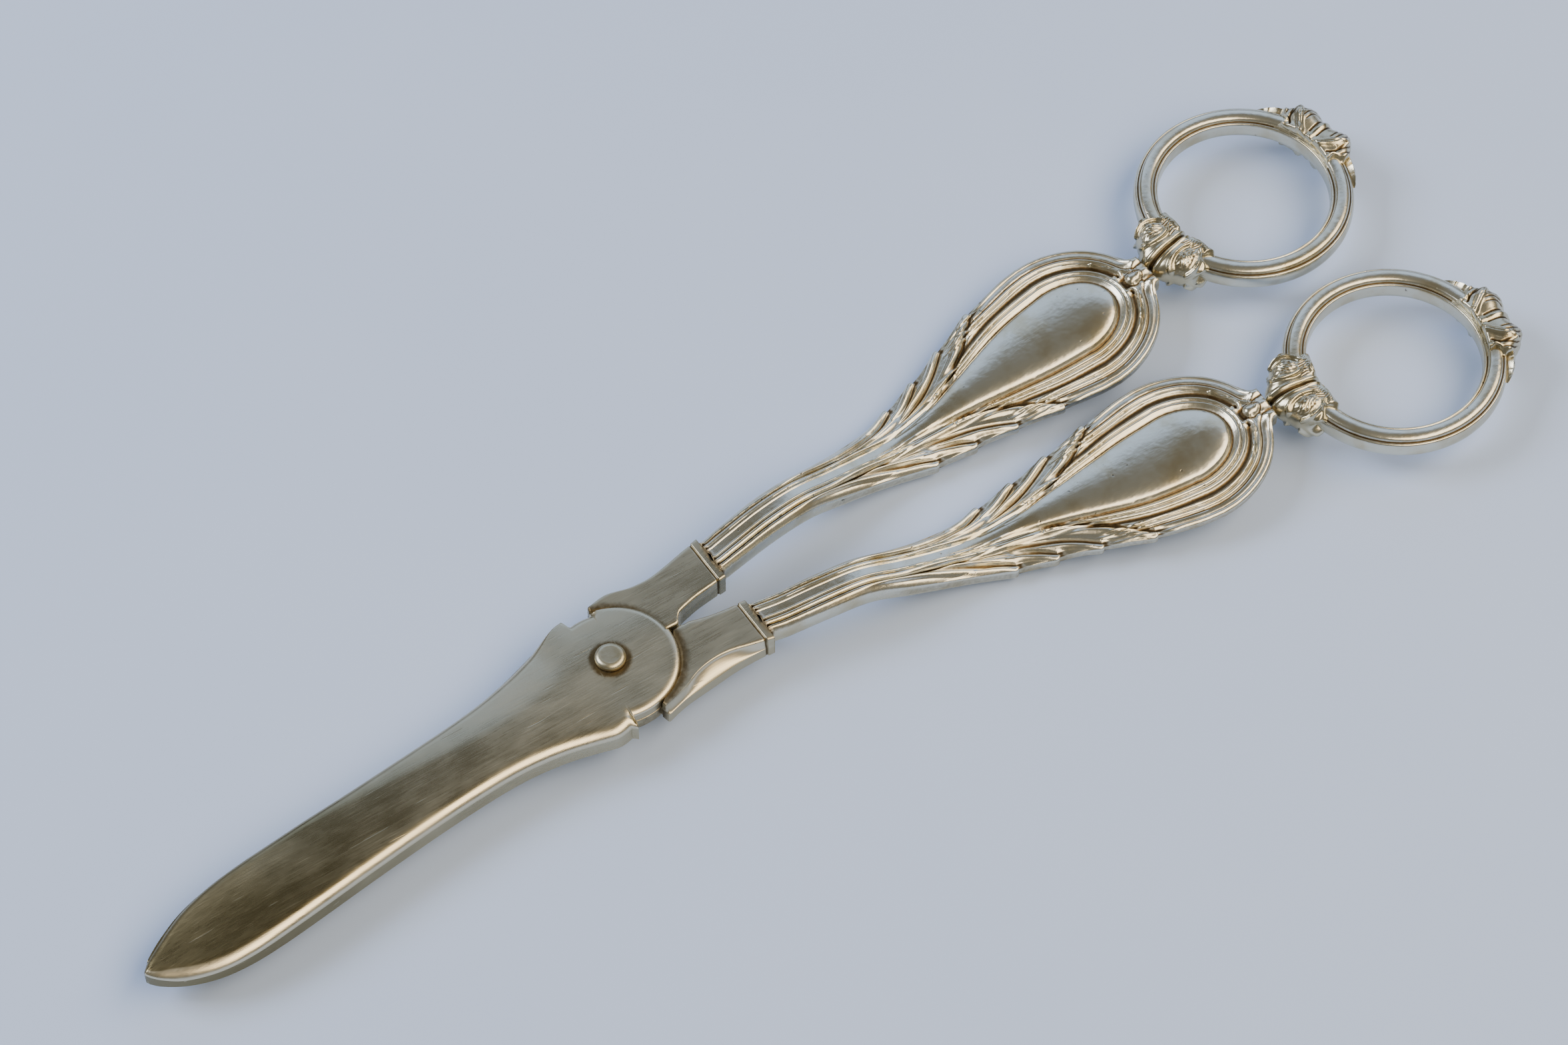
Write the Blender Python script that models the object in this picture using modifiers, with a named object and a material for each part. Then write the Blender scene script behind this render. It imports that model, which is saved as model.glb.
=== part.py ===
"""Grape shears: two crossed levers that turn on one rivet.

The upper lever carries a flat blade with a deep back flange, and its handle lies on the +Y side.
The lower lever's flat blade closes under it, inside the flange, and its handle lies on the -Y side.
Each lever ends in a bolster, which holds the tang of a cast handle: a reeded stem that widens into
a pear-shaped medallion with leaf lobes along its edge. A leaf collar joins each handle to a turned
finger ring, and a leafy crest sits on the ring opposite the collar.

The shears are modelled closed, round the pivot axis, with +X from the pivot to the rings and +Z up
from the surface that the handles' undersides rest on. The last step moves the finished pieces so
that the origin is in the middle of their footprint.
"""
import math

import bmesh
import bpy
import numpy as np
from mathutils import Matrix, Vector

MM = 0.001

# Blades
BLADE_LENGTH = 64.0 * MM          # pivot axis to tip
BLADE_WIDTH = 10.2 * MM
PLATE = 1.5 * MM                  # thickness of each blade and of each half of the joint
LAP_GAP = 0.2 * MM                # running gap between the two plates
FLANGE = 1.6 * MM                 # wall along the back of the upper blade
BLADE_CLEARANCE = 0.35 * MM       # between the flange and the lower blade
BLADE_INSET = 0.25 * MM           # how far the lower blade stays behind the upper one's edge
EDGE_ROLL = 1.1 * MM              # rolled cutting side of the upper blade
BACK_ROLL = 0.9 * MM              # rounded back of the upper blade
SMALL_ROLL = 0.15 * MM            # broken edges elsewhere
TIP_DROP = 1.1 * MM               # how much thinner the tip is than the joint
TIP_TAPER_LENGTH = 17.0 * MM
TIP_ROLL_RUN = 4.0 * MM           # the rolled edges fade over this length before the tip

# Joint
MIDLINE = 0.6 * MM                # the handles' centre line lies this far to the +Y side of the pivot
DISC_RADIUS = 7.9 * MM
DISC_ROLL = 0.35 * MM             # rounded edge of the upper disc
NOTCH_DEPTH = 1.0 * MM            # the stop notch in the disc, on the +Y side
LOWER_EAR = 0.7 * MM              # the lower blade's stop stands this far outside the disc there
EAR_DEPTH = 1.4 * MM              # the stops on the -Y side stand this far outside the disc
DISC_STEP = 0.35 * MM             # how far the disc stands above the bolsters
TURN_CLEARANCE = 0.3 * MM
OPEN_ANGLE = math.radians(24.0)   # between the levers when the stops meet
STOP_SLACK = math.radians(1.5)
PIN_RADIUS = 1.0 * MM
HEAD_RADIUS = 1.8 * MM
HEAD_FLAT_RADIUS = 1.1 * MM
HEAD_HEIGHT = 0.85 * MM
HEAD_WALL = 0.3 * MM              # straight part of the head's side
FOOT_HEIGHT = 0.6 * MM            # the lower head
HEAD_CLEARANCE = 0.1 * MM

# Bolsters
BOLSTER_END = 17.2 * MM           # pivot axis to the handles
BOLSTER_GAP = 4.0 * MM            # between the two bolsters at their ends
BOLSTER_WIDTH = 6.2 * MM
BOLSTER_ROLL = 0.35 * MM
CREASE_HEIGHT = 1.5 * MM          # the sides stand upright to here, and are scooped above
EAR_SCOOP = 0.6 * MM              # how far the scoop takes the top in at the ear
NIB_START = 7.2 * MM              # the small faces that meet when the shears close
NIB_END = 9.3 * MM
NIB_GAP = 0.3 * MM
LIP_LENGTH = 0.8 * MM             # raised lip round the bolster's end
LIP_RISE = 0.15 * MM
TANG_LENGTH = 4.0 * MM
TANG_WIDTH = 3.0 * MM
TANG_HEIGHT = 1.3 * MM
SEAT_CLEARANCE = 0.3 * MM

# Handles
BELLY_DROP = 3.05 * MM            # how far each handle bows down, from the rings to its lowest place
REST_WEAR = 0.26 * MM             # worn flat under that place, on which the shears rest
STEM_WIDTH = 4.9 * MM
STEM_HEIGHT = 3.7 * MM
MEDALLION_WIDTH = 20.4 * MM
MEDALLION_HEIGHT = 3.9 * MM
MEDALLION_START = 28.0 * MM       # where the stem starts to widen
CAP_LENGTH = 11.4 * MM            # round end of the medallion past its widest place
CAP_TO_COLLAR = 0.9 * MM
LOBE_DEPTH = 0.55 * MM            # step at each leaf tip along the edge
NECK_WIDTH = 4.4 * MM
NECK_HEIGHT = 2.5 * MM
NECK_LENGTH = 3.4 * MM
NECK_ROLL = 0.8 * MM
BEAD_RADIUS = 1.25 * MM
BEAD_RISE = 0.5 * MM
BEAD_TO_CAP = 2.7 * MM            # bead's centre, back from the end of the medallion
PEG_RADIUS = 0.8 * MM             # end of the handle inside the collar
PEG_LENGTH = 2.0 * MM

# Rings
RING_X = 100.3 * MM               # pivot axis to the ring centres
RING_Y = 14.9 * MM                # centre line to the ring centres
RING_TURN = math.radians(10.0)    # the handles meet the rings at this angle
HOLE_RADIUS = 10.4 * MM
HOOP_WIDTH = 2.9 * MM
HOOP_HEIGHT = 3.2 * MM
ORNAMENT_WALL = 0.5 * MM          # collar and crest metal over and under the hoop
ORNAMENT_ROLL = 0.7 * MM
COLLAR_DEPTH = 1.7 * MM           # collar metal outside the hoop
COLLAR_REACH = 16.3 * MM          # ring centre to the collar's neck face
COLLAR_HALF_ANGLE = math.radians(22.0)
CREST_DEPTH = 2.4 * MM            # crest metal outside the hoop at its peak
CREST_HALF_ANGLE = math.radians(38.0)
CREST_CLASP_ANGLE = math.radians(24.0)   # past this the crest only lies along the hoop's outside
CREST_INSET = 0.9 * MM            # the crest stays this far outside the finger hole

OVERRUN = 2.0 * MM                # how far a cutter passes the faces that it cuts
WELD = 0.002 * MM

# Outlines, as shares of the sizes above. Blade edges are (x, y) in blade lengths and blade widths,
# from the joint to the tip, with y from the midline.
BACK_EDGE_SHARES = (
    (-0.067, -0.925), (-0.113, -0.850), (-0.166, -0.776), (-0.225, -0.734), (-0.285, -0.731),
    (-0.367, -0.765), (-0.461, -0.824), (-0.578, -0.912), (-0.672, -0.990), (-0.758, -1.055),
    (-0.825, -1.080), (-0.884, -1.050), (-0.9375, -0.945), (-0.978, -0.790), (-1.0, -0.640))
CUTTING_EDGE_SHARES = (
    (-0.050, 0.672), (-0.088, 0.583), (-0.128, 0.495), (-0.175, 0.402), (-0.233, 0.314),
    (-0.291, 0.255), (-0.350, 0.210), (-0.434, 0.157), (-0.531, 0.098), (-0.616, 0.055),
    (-0.703, 0.0), (-0.781, -0.050), (-0.836, -0.098), (-0.891, -0.190), (-0.941, -0.355),
    (-0.978, -0.510), (-1.0, -0.640))

# The bolsters' sides, from the joint to the end: (x as a share of BOLSTER_END, y as a share of
# BOLSTER_WIDTH beyond the gap's half). The -Y one has other outlines below and above its crease.
RIGHT_BOLSTER_SHARES = ((0.250, 0.880), (0.410, 0.775), (0.560, 0.755), (0.700, 0.820), (0.850, 0.915))
LEFT_BOLSTER_LOW_SHARES = ((0.280, 1.120), (0.430, 1.070), (0.560, 1.030), (0.700, 0.990), (0.850, 0.985))
LEFT_BOLSTER_TOP_SHARES = ((0.280, 1.020), (0.430, 0.860), (0.560, 0.790), (0.700, 0.800), (0.850, 0.900))
BOLSTER_INNER_SHARES = ((0.900, -0.030), (0.760, -0.080), (0.640, -0.160), (0.570, -0.230))

# The handle's centre line: x and y as shares of the run from the bolster to the collar, and the
# drop below the rings' middle as a share of BELLY_DROP.
HANDLE_PATH_SHARES = (
    (0.0, 0.0, -0.14), (0.040, 0.070, -0.18), (0.113, 0.166, -0.33), (0.188, 0.245, -0.27),
    (0.263, 0.338, 0.24), (0.338, 0.420, 0.68), (0.414, 0.488, 1.0), (0.489, 0.555, 0.95),
    (0.564, 0.635, 0.74), (0.640, 0.725, 0.60), (0.714, 0.806, 0.48), (0.820, 0.878, 0.31),
    (0.910, 0.921, 0.12), (0.970, 0.964, 0.02), (1.0, 1.0, 0.0))
# Half width of the handle from the stem to the widest place of the medallion: (share of the way,
# share of the rise from stem to medallion).
HANDLE_WIDENING_SHARES = (
    (0.0, 0.0), (0.06, 0.005), (0.14, 0.020), (0.24, 0.030), (0.33, 0.065), (0.42, 0.125),
    (0.51, 0.225), (0.60, 0.360), (0.69, 0.495), (0.79, 0.690), (0.88, 0.855), (0.95, 0.965), (1.0, 1.0))
LOBE_TIP_SHARES = (0.56, 0.65, 0.745, 0.855)
LOBE_START_SHARE = 0.46
LOBE_STEP_SHARE = 0.012

# Relief across the handle, from the centre line out: (place as a share of the half width, height
# as a share of the half thickness), for the reeded stem and for the medallion.
STEM_RELIEF_SHARES = (
    (0.0, 0.95), (0.24, 1.0), (0.33, 0.88), (0.46, 0.93), (0.60, 0.80), (0.66, 0.66),
    (0.82, 0.76), (0.94, 0.66), (1.0, 0.42))
MEDALLION_RELIEF_SHARES = (
    (0.0, 1.0), (0.26, 0.93), (0.42, 0.74), (0.49, 0.50), (0.58, 0.53), (0.70, 0.37),
    (0.82, 0.34), (0.94, 0.31), (1.0, 0.20))

# The neck in plan, from the collar's face back into the medallion: (share of NECK_LENGTH, half
# width as a share of half of NECK_WIDTH).
NECK_SHARES = ((0.0, 1.0), (0.20, 0.98), (0.40, 0.90), (0.60, 1.00), (0.80, 1.30), (1.0, 1.55))
BEAD_LEVEL_SHARE = 0.36           # the relief's height round the bead

# Sections and outlines round the rings: (place across the hoop, height over its half height), and
# (angle as a share of the half angle, depth as a share of the metal outside the hoop).
HOOP_SECTION_SHARES = (
    (1.0, -0.40), (0.92, -0.80), (0.70, -0.98), (0.56, -0.84), (0.44, -1.0), (0.10, -0.86), (0.0, -0.55))
COLLAR_OUTER_SHARES = (
    (1.0, 0.20), (0.95, 0.62), (0.84, 0.80), (0.74, 0.66), (0.66, 0.80), (0.56, 1.12), (0.47, 1.12))
CREST_OUTER_SHARES = (
    (1.0, 0.30), (0.96, 0.42), (0.86, 0.46), (0.74, 0.40), (0.66, 0.50), (0.56, 0.78), (0.47, 0.66),
    (0.39, 0.72), (0.29, 1.0), (0.20, 0.84), (0.12, 0.84), (0.0, 1.0))

STEPS_PER_SPAN = 2                # points along a smooth outline between two named ones
ARC_STEP = math.radians(9.0)
TURNED_STEPS = 40
PEG_STEPS = 16
ROW_COUNT = 20                    # rows of relief along a handle
CAP_COUNT = 12                    # steps round the end of a medallion
ROLL_TURNS = (90, 45, 0)          # directions in degrees that stand for a rounded edge
HEAD_TURNS = (60, 30, 0)
SHARP_ANGLE = math.radians(35.0)

PLATED = (0.62, 0.58, 0.50, 1.0)
BLADE_SATIN = (0.42, 0.40, 0.34, 1.0)
JOINT_SATIN = (0.52, 0.50, 0.43, 1.0)
TARNISHED = (0.36, 0.31, 0.23, 1.0)

# Heights over the resting surface, and other values that follow from the sizes above
BELLY_Z = STEM_HEIGHT / 2 - REST_WEAR
BOLSTER_MIDDLE = BELLY_Z + BELLY_DROP
BOLSTER_HEIGHT = 2 * PLATE + LAP_GAP - DISC_STEP
LOWER_FLOOR = BOLSTER_MIDDLE - BOLSTER_HEIGHT / 2
LOWER_TOP = LOWER_FLOOR + PLATE
UPPER_FLOOR = LOWER_TOP + LAP_GAP
UPPER_TOP = UPPER_FLOOR + PLATE
BOLSTER_TOP = UPPER_TOP - DISC_STEP
EAR_RADIUS = DISC_RADIUS + EAR_DEPTH
BOLSTER_Y = MIDLINE + (BOLSTER_GAP + BOLSTER_WIDTH) / 2
HOOP_OUTER = HOLE_RADIUS + HOOP_WIDTH
ORNAMENT_HALF = HOOP_HEIGHT / 2 + SEAT_CLEARANCE + ORNAMENT_WALL
STOP_HALF_ANGLE = (OPEN_ANGLE + STOP_SLACK) / 2


def clear_scene():
    """Remove every object of the startup scene."""
    for item in list(bpy.data.objects):
        bpy.data.objects.remove(item, do_unlink=True)


def new_collection(name):
    """Add a collection to the scene."""
    collection = bpy.data.collections.new(name)
    bpy.context.scene.collection.children.link(collection)
    return collection


def metal(name, colour, roughness):
    """Return a metallic Principled material."""
    material = bpy.data.materials.new(name)
    material.use_nodes = True
    shader = material.node_tree.nodes["Principled BSDF"]
    shader.inputs["Base Color"].default_value = colour
    shader.inputs["Metallic"].default_value = 1.0
    shader.inputs["Roughness"].default_value = roughness
    material.diffuse_color = colour
    return material


def polar(radius, angle):
    """A point in plan at a radius and an angle from +X."""
    return np.array((radius * math.cos(angle), radius * math.sin(angle)))


def arc(radius, start, end):
    """Points in plan along an arc round the origin, both ends included."""
    count = max(2, int(math.ceil(abs(end - start) / ARC_STEP)) + 1)
    return [polar(radius, angle) for angle in np.linspace(start, end, count)]


def smooth(points, steps=STEPS_PER_SPAN):
    """Points of a Catmull-Rom curve through the given ones, in any number of dimensions."""
    points = np.asarray(points, dtype=float)
    padded = np.vstack([2 * points[0] - points[1], points, 2 * points[-1] - points[-2]])
    curve = [points[0]]
    for p0, p1, p2, p3 in zip(padded, padded[1:], padded[2:], padded[3:]):
        for share in np.linspace(0, 1, steps + 1)[1:]:
            square, cube = share ** 2, share ** 3
            curve.append(0.5 * (2 * p1 + (p2 - p0) * share + (2 * p0 - 5 * p1 + 4 * p2 - p3) * square
                                + (3 * p1 - p0 - 3 * p2 + p3) * cube))
    return np.array(curve)


def offset_line(points, distance):
    """Move an open line sideways, to the left of its direction."""
    run = np.gradient(points, axis=0)
    run = run / np.linalg.norm(run, axis=1)[:, None]
    return points + distance * np.column_stack([-run[:, 1], run[:, 0]])


def add_object(name, mesh, collection, material=None):
    """Put a mesh in the scene."""
    item = bpy.data.objects.new(name, mesh)
    collection.objects.link(item)
    if material:
        mesh.materials.append(material)
    return item


def mesh_from(name, vertices, faces):
    """A mesh whose doubled vertices are welded and whose faces point out."""
    mesh = bpy.data.meshes.new(name)
    mesh.from_pydata([tuple(v) for v in vertices], [], faces)
    work = bmesh.new()
    work.from_mesh(mesh)
    bmesh.ops.remove_doubles(work, verts=work.verts, dist=WELD)
    bmesh.ops.recalc_face_normals(work, faces=work.faces)
    work.to_mesh(mesh)
    work.free()
    return mesh


def make_cutter(item):
    """Show an object as a guide only."""
    item.hide_render = True
    item.display_type = "WIRE"
    return item


def prism(name, outline, low, high, collection):
    """A flat outline, drawn as a filled 2D curve, with height. Returns a mesh object."""
    curve = bpy.data.curves.new(name, "CURVE")
    curve.dimensions = "2D"
    curve.fill_mode = "BOTH"
    curve.extrude = (high - low) / 2
    spline = curve.splines.new("POLY")
    spline.points.add(len(outline) - 1)
    for point, place in zip(spline.points, outline):
        point.co = (place[0], place[1], 0, 1)
    spline.use_cyclic_u = True
    drawn = bpy.data.objects.new(name + "_outline", curve)
    collection.objects.link(drawn)
    drawn.location.z = (low + high) / 2
    graph = bpy.context.evaluated_depsgraph_get()
    mesh = bpy.data.meshes.new_from_object(drawn.evaluated_get(graph))
    mesh.name = name
    place = drawn.matrix_world.copy()
    bpy.data.objects.remove(drawn, do_unlink=True)
    work = bmesh.new()
    work.from_mesh(mesh)
    bmesh.ops.remove_doubles(work, verts=work.verts, dist=WELD)
    bmesh.ops.recalc_face_normals(work, faces=work.faces)
    work.to_mesh(mesh)
    work.free()
    item = bpy.data.objects.new(name, mesh)
    collection.objects.link(item)
    item.matrix_world = place
    return item


def rolled_plate(name, outline, low, high, roll_low, roll_high, collection, material=None,
                 top_outline=None, crease=None):
    """Loft a flat outline up, its top and bottom edges rounded by a roll given for each point.

    With a top outline and a crease, the side stands upright to the crease and leans in above it.
    """
    top_outline = outline if top_outline is None else top_outline
    rings = rolled_edge(outline, roll_low, low, 1)
    if crease is not None:
        rings.append(np.column_stack([outline, np.full(len(outline), crease)]))
    rings += rolled_edge(top_outline, roll_high, high, -1)
    count = len(outline)
    faces = []
    for row in range(len(rings) - 1):
        for column in range(count):
            after = (column + 1) % count
            faces.append((row * count + column, row * count + after,
                          (row + 1) * count + after, (row + 1) * count + column))
    faces.append(tuple(reversed(range(count))))
    faces.append(tuple(range((len(rings) - 1) * count, len(rings) * count)))
    mesh = mesh_from(name, np.vstack(rings), faces)
    return add_object(name, mesh, collection, material)


def rolled_edge(outline, roll, level, sign):
    """The rings of points that round one edge of a plate, from the bottom up."""
    outline = np.asarray(outline, dtype=float)
    run = np.roll(outline, -1, axis=0) - np.roll(outline, 1, axis=0)
    run = run / np.linalg.norm(run, axis=1)[:, None]
    inward = np.column_stack([-run[:, 1], run[:, 0]])
    roll = np.broadcast_to(roll, len(outline))
    rings = []
    for turn in ROLL_TURNS[::sign]:
        depth = roll * (1 - math.cos(math.radians(turn)))
        rise = roll * (1 - math.sin(math.radians(turn)))
        rings.append(np.column_stack([outline + inward * depth[:, None], level + sign * rise]))
    return rings


def turned(name, profile, collection, material=None):
    """Turn a closed or axis-to-axis profile of (radius, height) points round the Z axis."""
    mesh = bpy.data.meshes.new(name)
    closed = profile[0][0] > WELD
    edges = [(i, i + 1) for i in range(len(profile) - 1)]
    if closed:
        edges.append((len(profile) - 1, 0))
    mesh.from_pydata([(radius, 0, height) for radius, height in profile], edges, [])
    item = add_object(name, mesh, collection, material)
    screw = item.modifiers.new("turn", "SCREW")
    screw.axis = "Z"
    screw.steps = TURNED_STEPS
    screw.render_steps = TURNED_STEPS
    screw.use_merge_vertices = True
    screw.merge_threshold = WELD
    screw.use_normal_calculate = False
    return item


def boolean(item, other, operation):
    """Add an exact Boolean modifier."""
    step = item.modifiers.new(operation.lower(), "BOOLEAN")
    step.operation = operation
    step.solver = "EXACT"
    step.object = other
    make_cutter(other)


def cylinder(name, radius, low, high, collection):
    """A round cutter on the pivot axis."""
    bpy.ops.mesh.primitive_cylinder_add(vertices=TURNED_STEPS, radius=radius, depth=high - low,
                                        location=(0, 0, (low + high) / 2))
    item = bpy.context.object
    item.name = name
    move_to(item, collection)
    return item


def peg(name, radius, start, end, collection):
    """A round peg or socket that lies along X, at the height of the rings."""
    bpy.ops.mesh.primitive_cylinder_add(vertices=PEG_STEPS, radius=radius, depth=end - start,
                                        location=((start + end) / 2, 0, BOLSTER_MIDDLE),
                                        rotation=(0, math.pi / 2, 0))
    item = bpy.context.object
    item.name = name
    move_to(item, collection)
    return item


def block(name, low, high, collection):
    """A box between two corners."""
    low, high = np.minimum(low, high), np.maximum(low, high)
    bpy.ops.mesh.primitive_cube_add(size=1, location=tuple((low + high) / 2))
    item = bpy.context.object
    item.name = name
    item.data.transform(Matrix.Diagonal((*(high - low), 1)))
    move_to(item, collection)
    return item


def move_to(item, collection):
    """Move an object to one collection."""
    for holder in list(item.users_collection):
        holder.objects.unlink(item)
    collection.objects.link(item)


def blade_edges():
    """The upper blade's back edge and cutting edge in plan, from the joint to the tip."""
    scale, start = np.array((BLADE_LENGTH, BLADE_WIDTH)), np.array((0, MIDLINE))
    back = [polar(EAR_RADIUS, -math.pi / 2 - STOP_HALF_ANGLE)]
    back += [start + np.array(point) * scale for point in BACK_EDGE_SHARES]
    cutting = [polar(DISC_RADIUS, math.pi / 2 + STOP_HALF_ANGLE)]
    cutting += [start + np.array(point) * scale for point in CUTTING_EDGE_SHARES]
    return smooth(back), smooth(cutting)


def bolster_point(side, x, y):
    """A point of a bolster, from shares along it and across it. Side is +1 for +Y."""
    return np.array((BOLSTER_END * x, MIDLINE + side * (BOLSTER_GAP / 2 + BOLSTER_WIDTH * y)))


def bolster_outline(ear_radius, side, outer_shares):
    """One bolster in plan, from inside the disc to its end."""
    shoulder = side * (math.pi / 2 - STOP_HALF_ANGLE)
    outer = [polar(ear_radius, shoulder)]
    outer += [bolster_point(side, x, y) for x, y in (*outer_shares, (1, 1))]
    inner = [bolster_point(side, x, y) for x, y in ((1, 0), *BOLSTER_INNER_SHARES)]
    nib = [np.array((NIB_END, side * NIB_GAP / 2)), np.array((NIB_START, side * NIB_GAP / 2))]
    root = [polar(DISC_RADIUS / 2, shoulder / 2), polar(DISC_RADIUS / 2, shoulder)]
    outline = np.vstack([smooth(outer), smooth(inner), nib, root])
    return outline[::-1] if side > 0 else outline


def bolster(name, side, low, top, guides):
    """A bolster with rounded long edges and a lip round its end; its side leans in above the crease."""
    rolls = np.where(low[:, 0] > NIB_END, BOLSTER_ROLL, SMALL_ROLL)
    item = rolled_plate(name, low, LOWER_FLOOR, BOLSTER_TOP, rolls, rolls, guides,
                        top_outline=top, crease=LOWER_FLOOR + CREASE_HEIGHT)
    inner, outer = BOLSTER_GAP / 2 - LIP_RISE, BOLSTER_GAP / 2 + BOLSTER_WIDTH + LIP_RISE
    lip = block(name + "_lip", (BOLSTER_END - LIP_LENGTH, MIDLINE + side * inner, LOWER_FLOOR - LIP_RISE),
                (BOLSTER_END, MIDLINE + side * outer, BOLSTER_TOP + LIP_RISE), guides)
    bevel = lip.modifiers.new("round", "BEVEL")
    bevel.width = BOLSTER_ROLL
    bevel.segments = 2
    bevel.affect = "EDGES"
    boolean(item, lip, "UNION")
    return item


def tang_socket(name, side, guides):
    """The blind hole in a bolster's end."""
    middle = MIDLINE + side * (BOLSTER_Y - MIDLINE)
    wide = TANG_WIDTH / 2 + SEAT_CLEARANCE
    high = TANG_HEIGHT / 2 + SEAT_CLEARANCE
    return block(name, (BOLSTER_END - TANG_LENGTH - SEAT_CLEARANCE, middle - wide, BOLSTER_MIDDLE - high),
                 (BOLSTER_END + OVERRUN, middle + wide, BOLSTER_MIDDLE + high), guides)


def blade_rolls(line, roll):
    """A roll along one edge of the blade that fades out at the tip."""
    fade = np.clip(np.linalg.norm(line - line[-1], axis=1) / TIP_ROLL_RUN, 0, 1)
    return SMALL_ROLL + (roll - SMALL_ROLL) * fade


def upper_blade(parts, guides):
    """The upper lever: flanged blade, upper half of the joint and the +Y bolster."""
    back, cutting = blade_edges()
    right, left = math.pi / 2 - STOP_HALF_ANGLE, math.pi / 2 + STOP_HALF_ANGLE
    disc = arc(DISC_RADIUS, -left, right)
    notch = arc(DISC_RADIUS - NOTCH_DEPTH, right, left)
    outline = np.vstack([back[::-1], disc, notch, cutting[:-1]])
    grow = np.minimum(1, np.arange(len(cutting) - 1) / STEPS_PER_SPAN / 2)
    near_tip = blade_rolls(cutting, EDGE_ROLL)[:-1]
    rolls = np.concatenate([blade_rolls(back, BACK_ROLL)[::-1], np.full(len(disc), DISC_ROLL),
                            np.full(len(notch), SMALL_ROLL), SMALL_ROLL + (near_tip - SMALL_ROLL) * grow])
    rolls[[len(back) - 1, len(back)]] = SMALL_ROLL
    item = rolled_plate("upper_blade", outline, LOWER_FLOOR, UPPER_TOP, SMALL_ROLL, rolls, parts,
                        metal("satin_blade", BLADE_SATIN, 0.35))
    plan = bolster_outline(DISC_RADIUS, 1, RIGHT_BOLSTER_SHARES)
    boolean(item, bolster("upper_bolster", 1, plan, plan, guides), "UNION")
    boolean(item, blade_pocket(back, guides), "DIFFERENCE")
    boolean(item, joint_pocket(guides), "DIFFERENCE")
    boolean(item, tip_taper(guides), "DIFFERENCE")
    boolean(item, cylinder("upper_pin_hole", PIN_RADIUS + TURN_CLEARANCE, UPPER_FLOOR - OVERRUN,
                           UPPER_TOP + OVERRUN, guides), "DIFFERENCE")
    boolean(item, tang_socket("upper_tang_socket", 1, guides), "DIFFERENCE")
    return item


def past_tip(line):
    """A line along the back, carried on past the tip until it is clear of the blade."""
    along = (line[-1] - line[-2]) / np.linalg.norm(line[-1] - line[-2])
    return np.vstack([line, line[-1] + along * BLADE_WIDTH])


def blade_pocket(back, guides):
    """The space under the upper blade, from the flange to past the cutting edge."""
    inside = past_tip(offset_line(back, -FLANGE))
    far = DISC_RADIUS + EAR_RADIUS
    end = inside[-1, 0] - OVERRUN
    outline = [*inside, np.array((end, inside[-1, 1])), np.array((end, far)),
               polar(far, math.pi / 2 - STOP_HALF_ANGLE), np.zeros(2)]
    return prism("blade_pocket", outline[::-1], LOWER_FLOOR - OVERRUN, UPPER_FLOOR, guides)


def joint_pocket(guides):
    """The space under the upper disc: the lower disc's, and all round it between the stops."""
    far = DISC_RADIUS + EAR_RADIUS
    left = math.pi / 2 + STOP_HALF_ANGLE
    small_disc = DISC_RADIUS - NOTCH_DEPTH + TURN_CLEARANCE
    outline = [np.zeros(2), *arc(DISC_RADIUS + TURN_CLEARANCE, -math.pi, -left)]
    outline += [polar(far, -left), polar(far, -math.pi / 4)]
    outline += [np.array((NIB_END, -NIB_GAP)), np.array((small_disc, 0))]
    outline += arc(small_disc, ARC_STEP / 2, math.pi - left)
    return prism("joint_pocket", outline, LOWER_FLOOR - OVERRUN, UPPER_FLOOR, guides)


def tip_taper(guides):
    """The wedge that thins the blade towards its tip."""
    start = -BLADE_LENGTH + TIP_TAPER_LENGTH
    slope = TIP_DROP / TIP_TAPER_LENGTH
    low_end = -BLADE_LENGTH - OVERRUN
    side_view = [(start, UPPER_TOP), (start, UPPER_TOP + OVERRUN), (low_end, UPPER_TOP + OVERRUN),
                 (low_end, UPPER_TOP - slope * (start - low_end))]
    item = prism("tip_taper", side_view, -2 * BLADE_WIDTH, BLADE_WIDTH, guides)
    item.data.transform(item.matrix_world)
    item.matrix_world = Matrix.Identity(4)
    item.data.transform(Matrix.Rotation(math.pi / 2, 4, "X"))
    return item


def lower_blade(parts, guides):
    """The lower lever: plain blade, lower half of the joint and the -Y bolster."""
    back, cutting = blade_edges()
    left = math.pi / 2 + STOP_HALF_ANGLE
    edge = offset_line(cutting, BLADE_INSET)[STEPS_PER_SPAN:]
    outline = [np.zeros(2), polar(DISC_RADIUS + LOWER_EAR, left), *edge, *back[1:-1][::-1]]
    item = rolled_plate("lower_blade", outline, LOWER_FLOOR, LOWER_TOP, SMALL_ROLL, SMALL_ROLL, parts,
                        metal("satin_lower_blade", JOINT_SATIN, 0.35))
    boolean(item, flange_space(back, guides), "DIFFERENCE")
    disc = [*arc(DISC_RADIUS, left, 2 * math.pi - ARC_STEP), *arc(DISC_RADIUS - NOTCH_DEPTH, 0, left)]
    boolean(item, rolled_plate("lower_disc", disc, LOWER_FLOOR, LOWER_TOP, SMALL_ROLL, SMALL_ROLL, guides),
            "UNION")
    boolean(item, lower_bolster(guides), "UNION")
    boolean(item, cylinder("lower_pin_hole", PIN_RADIUS + TURN_CLEARANCE, LOWER_FLOOR - OVERRUN,
                           LOWER_TOP + OVERRUN, guides), "DIFFERENCE")
    boolean(item, tang_socket("lower_tang_socket", -1, guides), "DIFFERENCE")
    return item


def flange_space(back, guides):
    """The strip along the back that the upper blade's flange and its clearance take."""
    inside = past_tip(offset_line(back, -FLANGE - BLADE_CLEARANCE))
    outside = past_tip(offset_line(back, OVERRUN))
    return prism("flange_space", [*inside, *outside[::-1]], LOWER_FLOOR - OVERRUN, LOWER_TOP + OVERRUN, guides)


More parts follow.
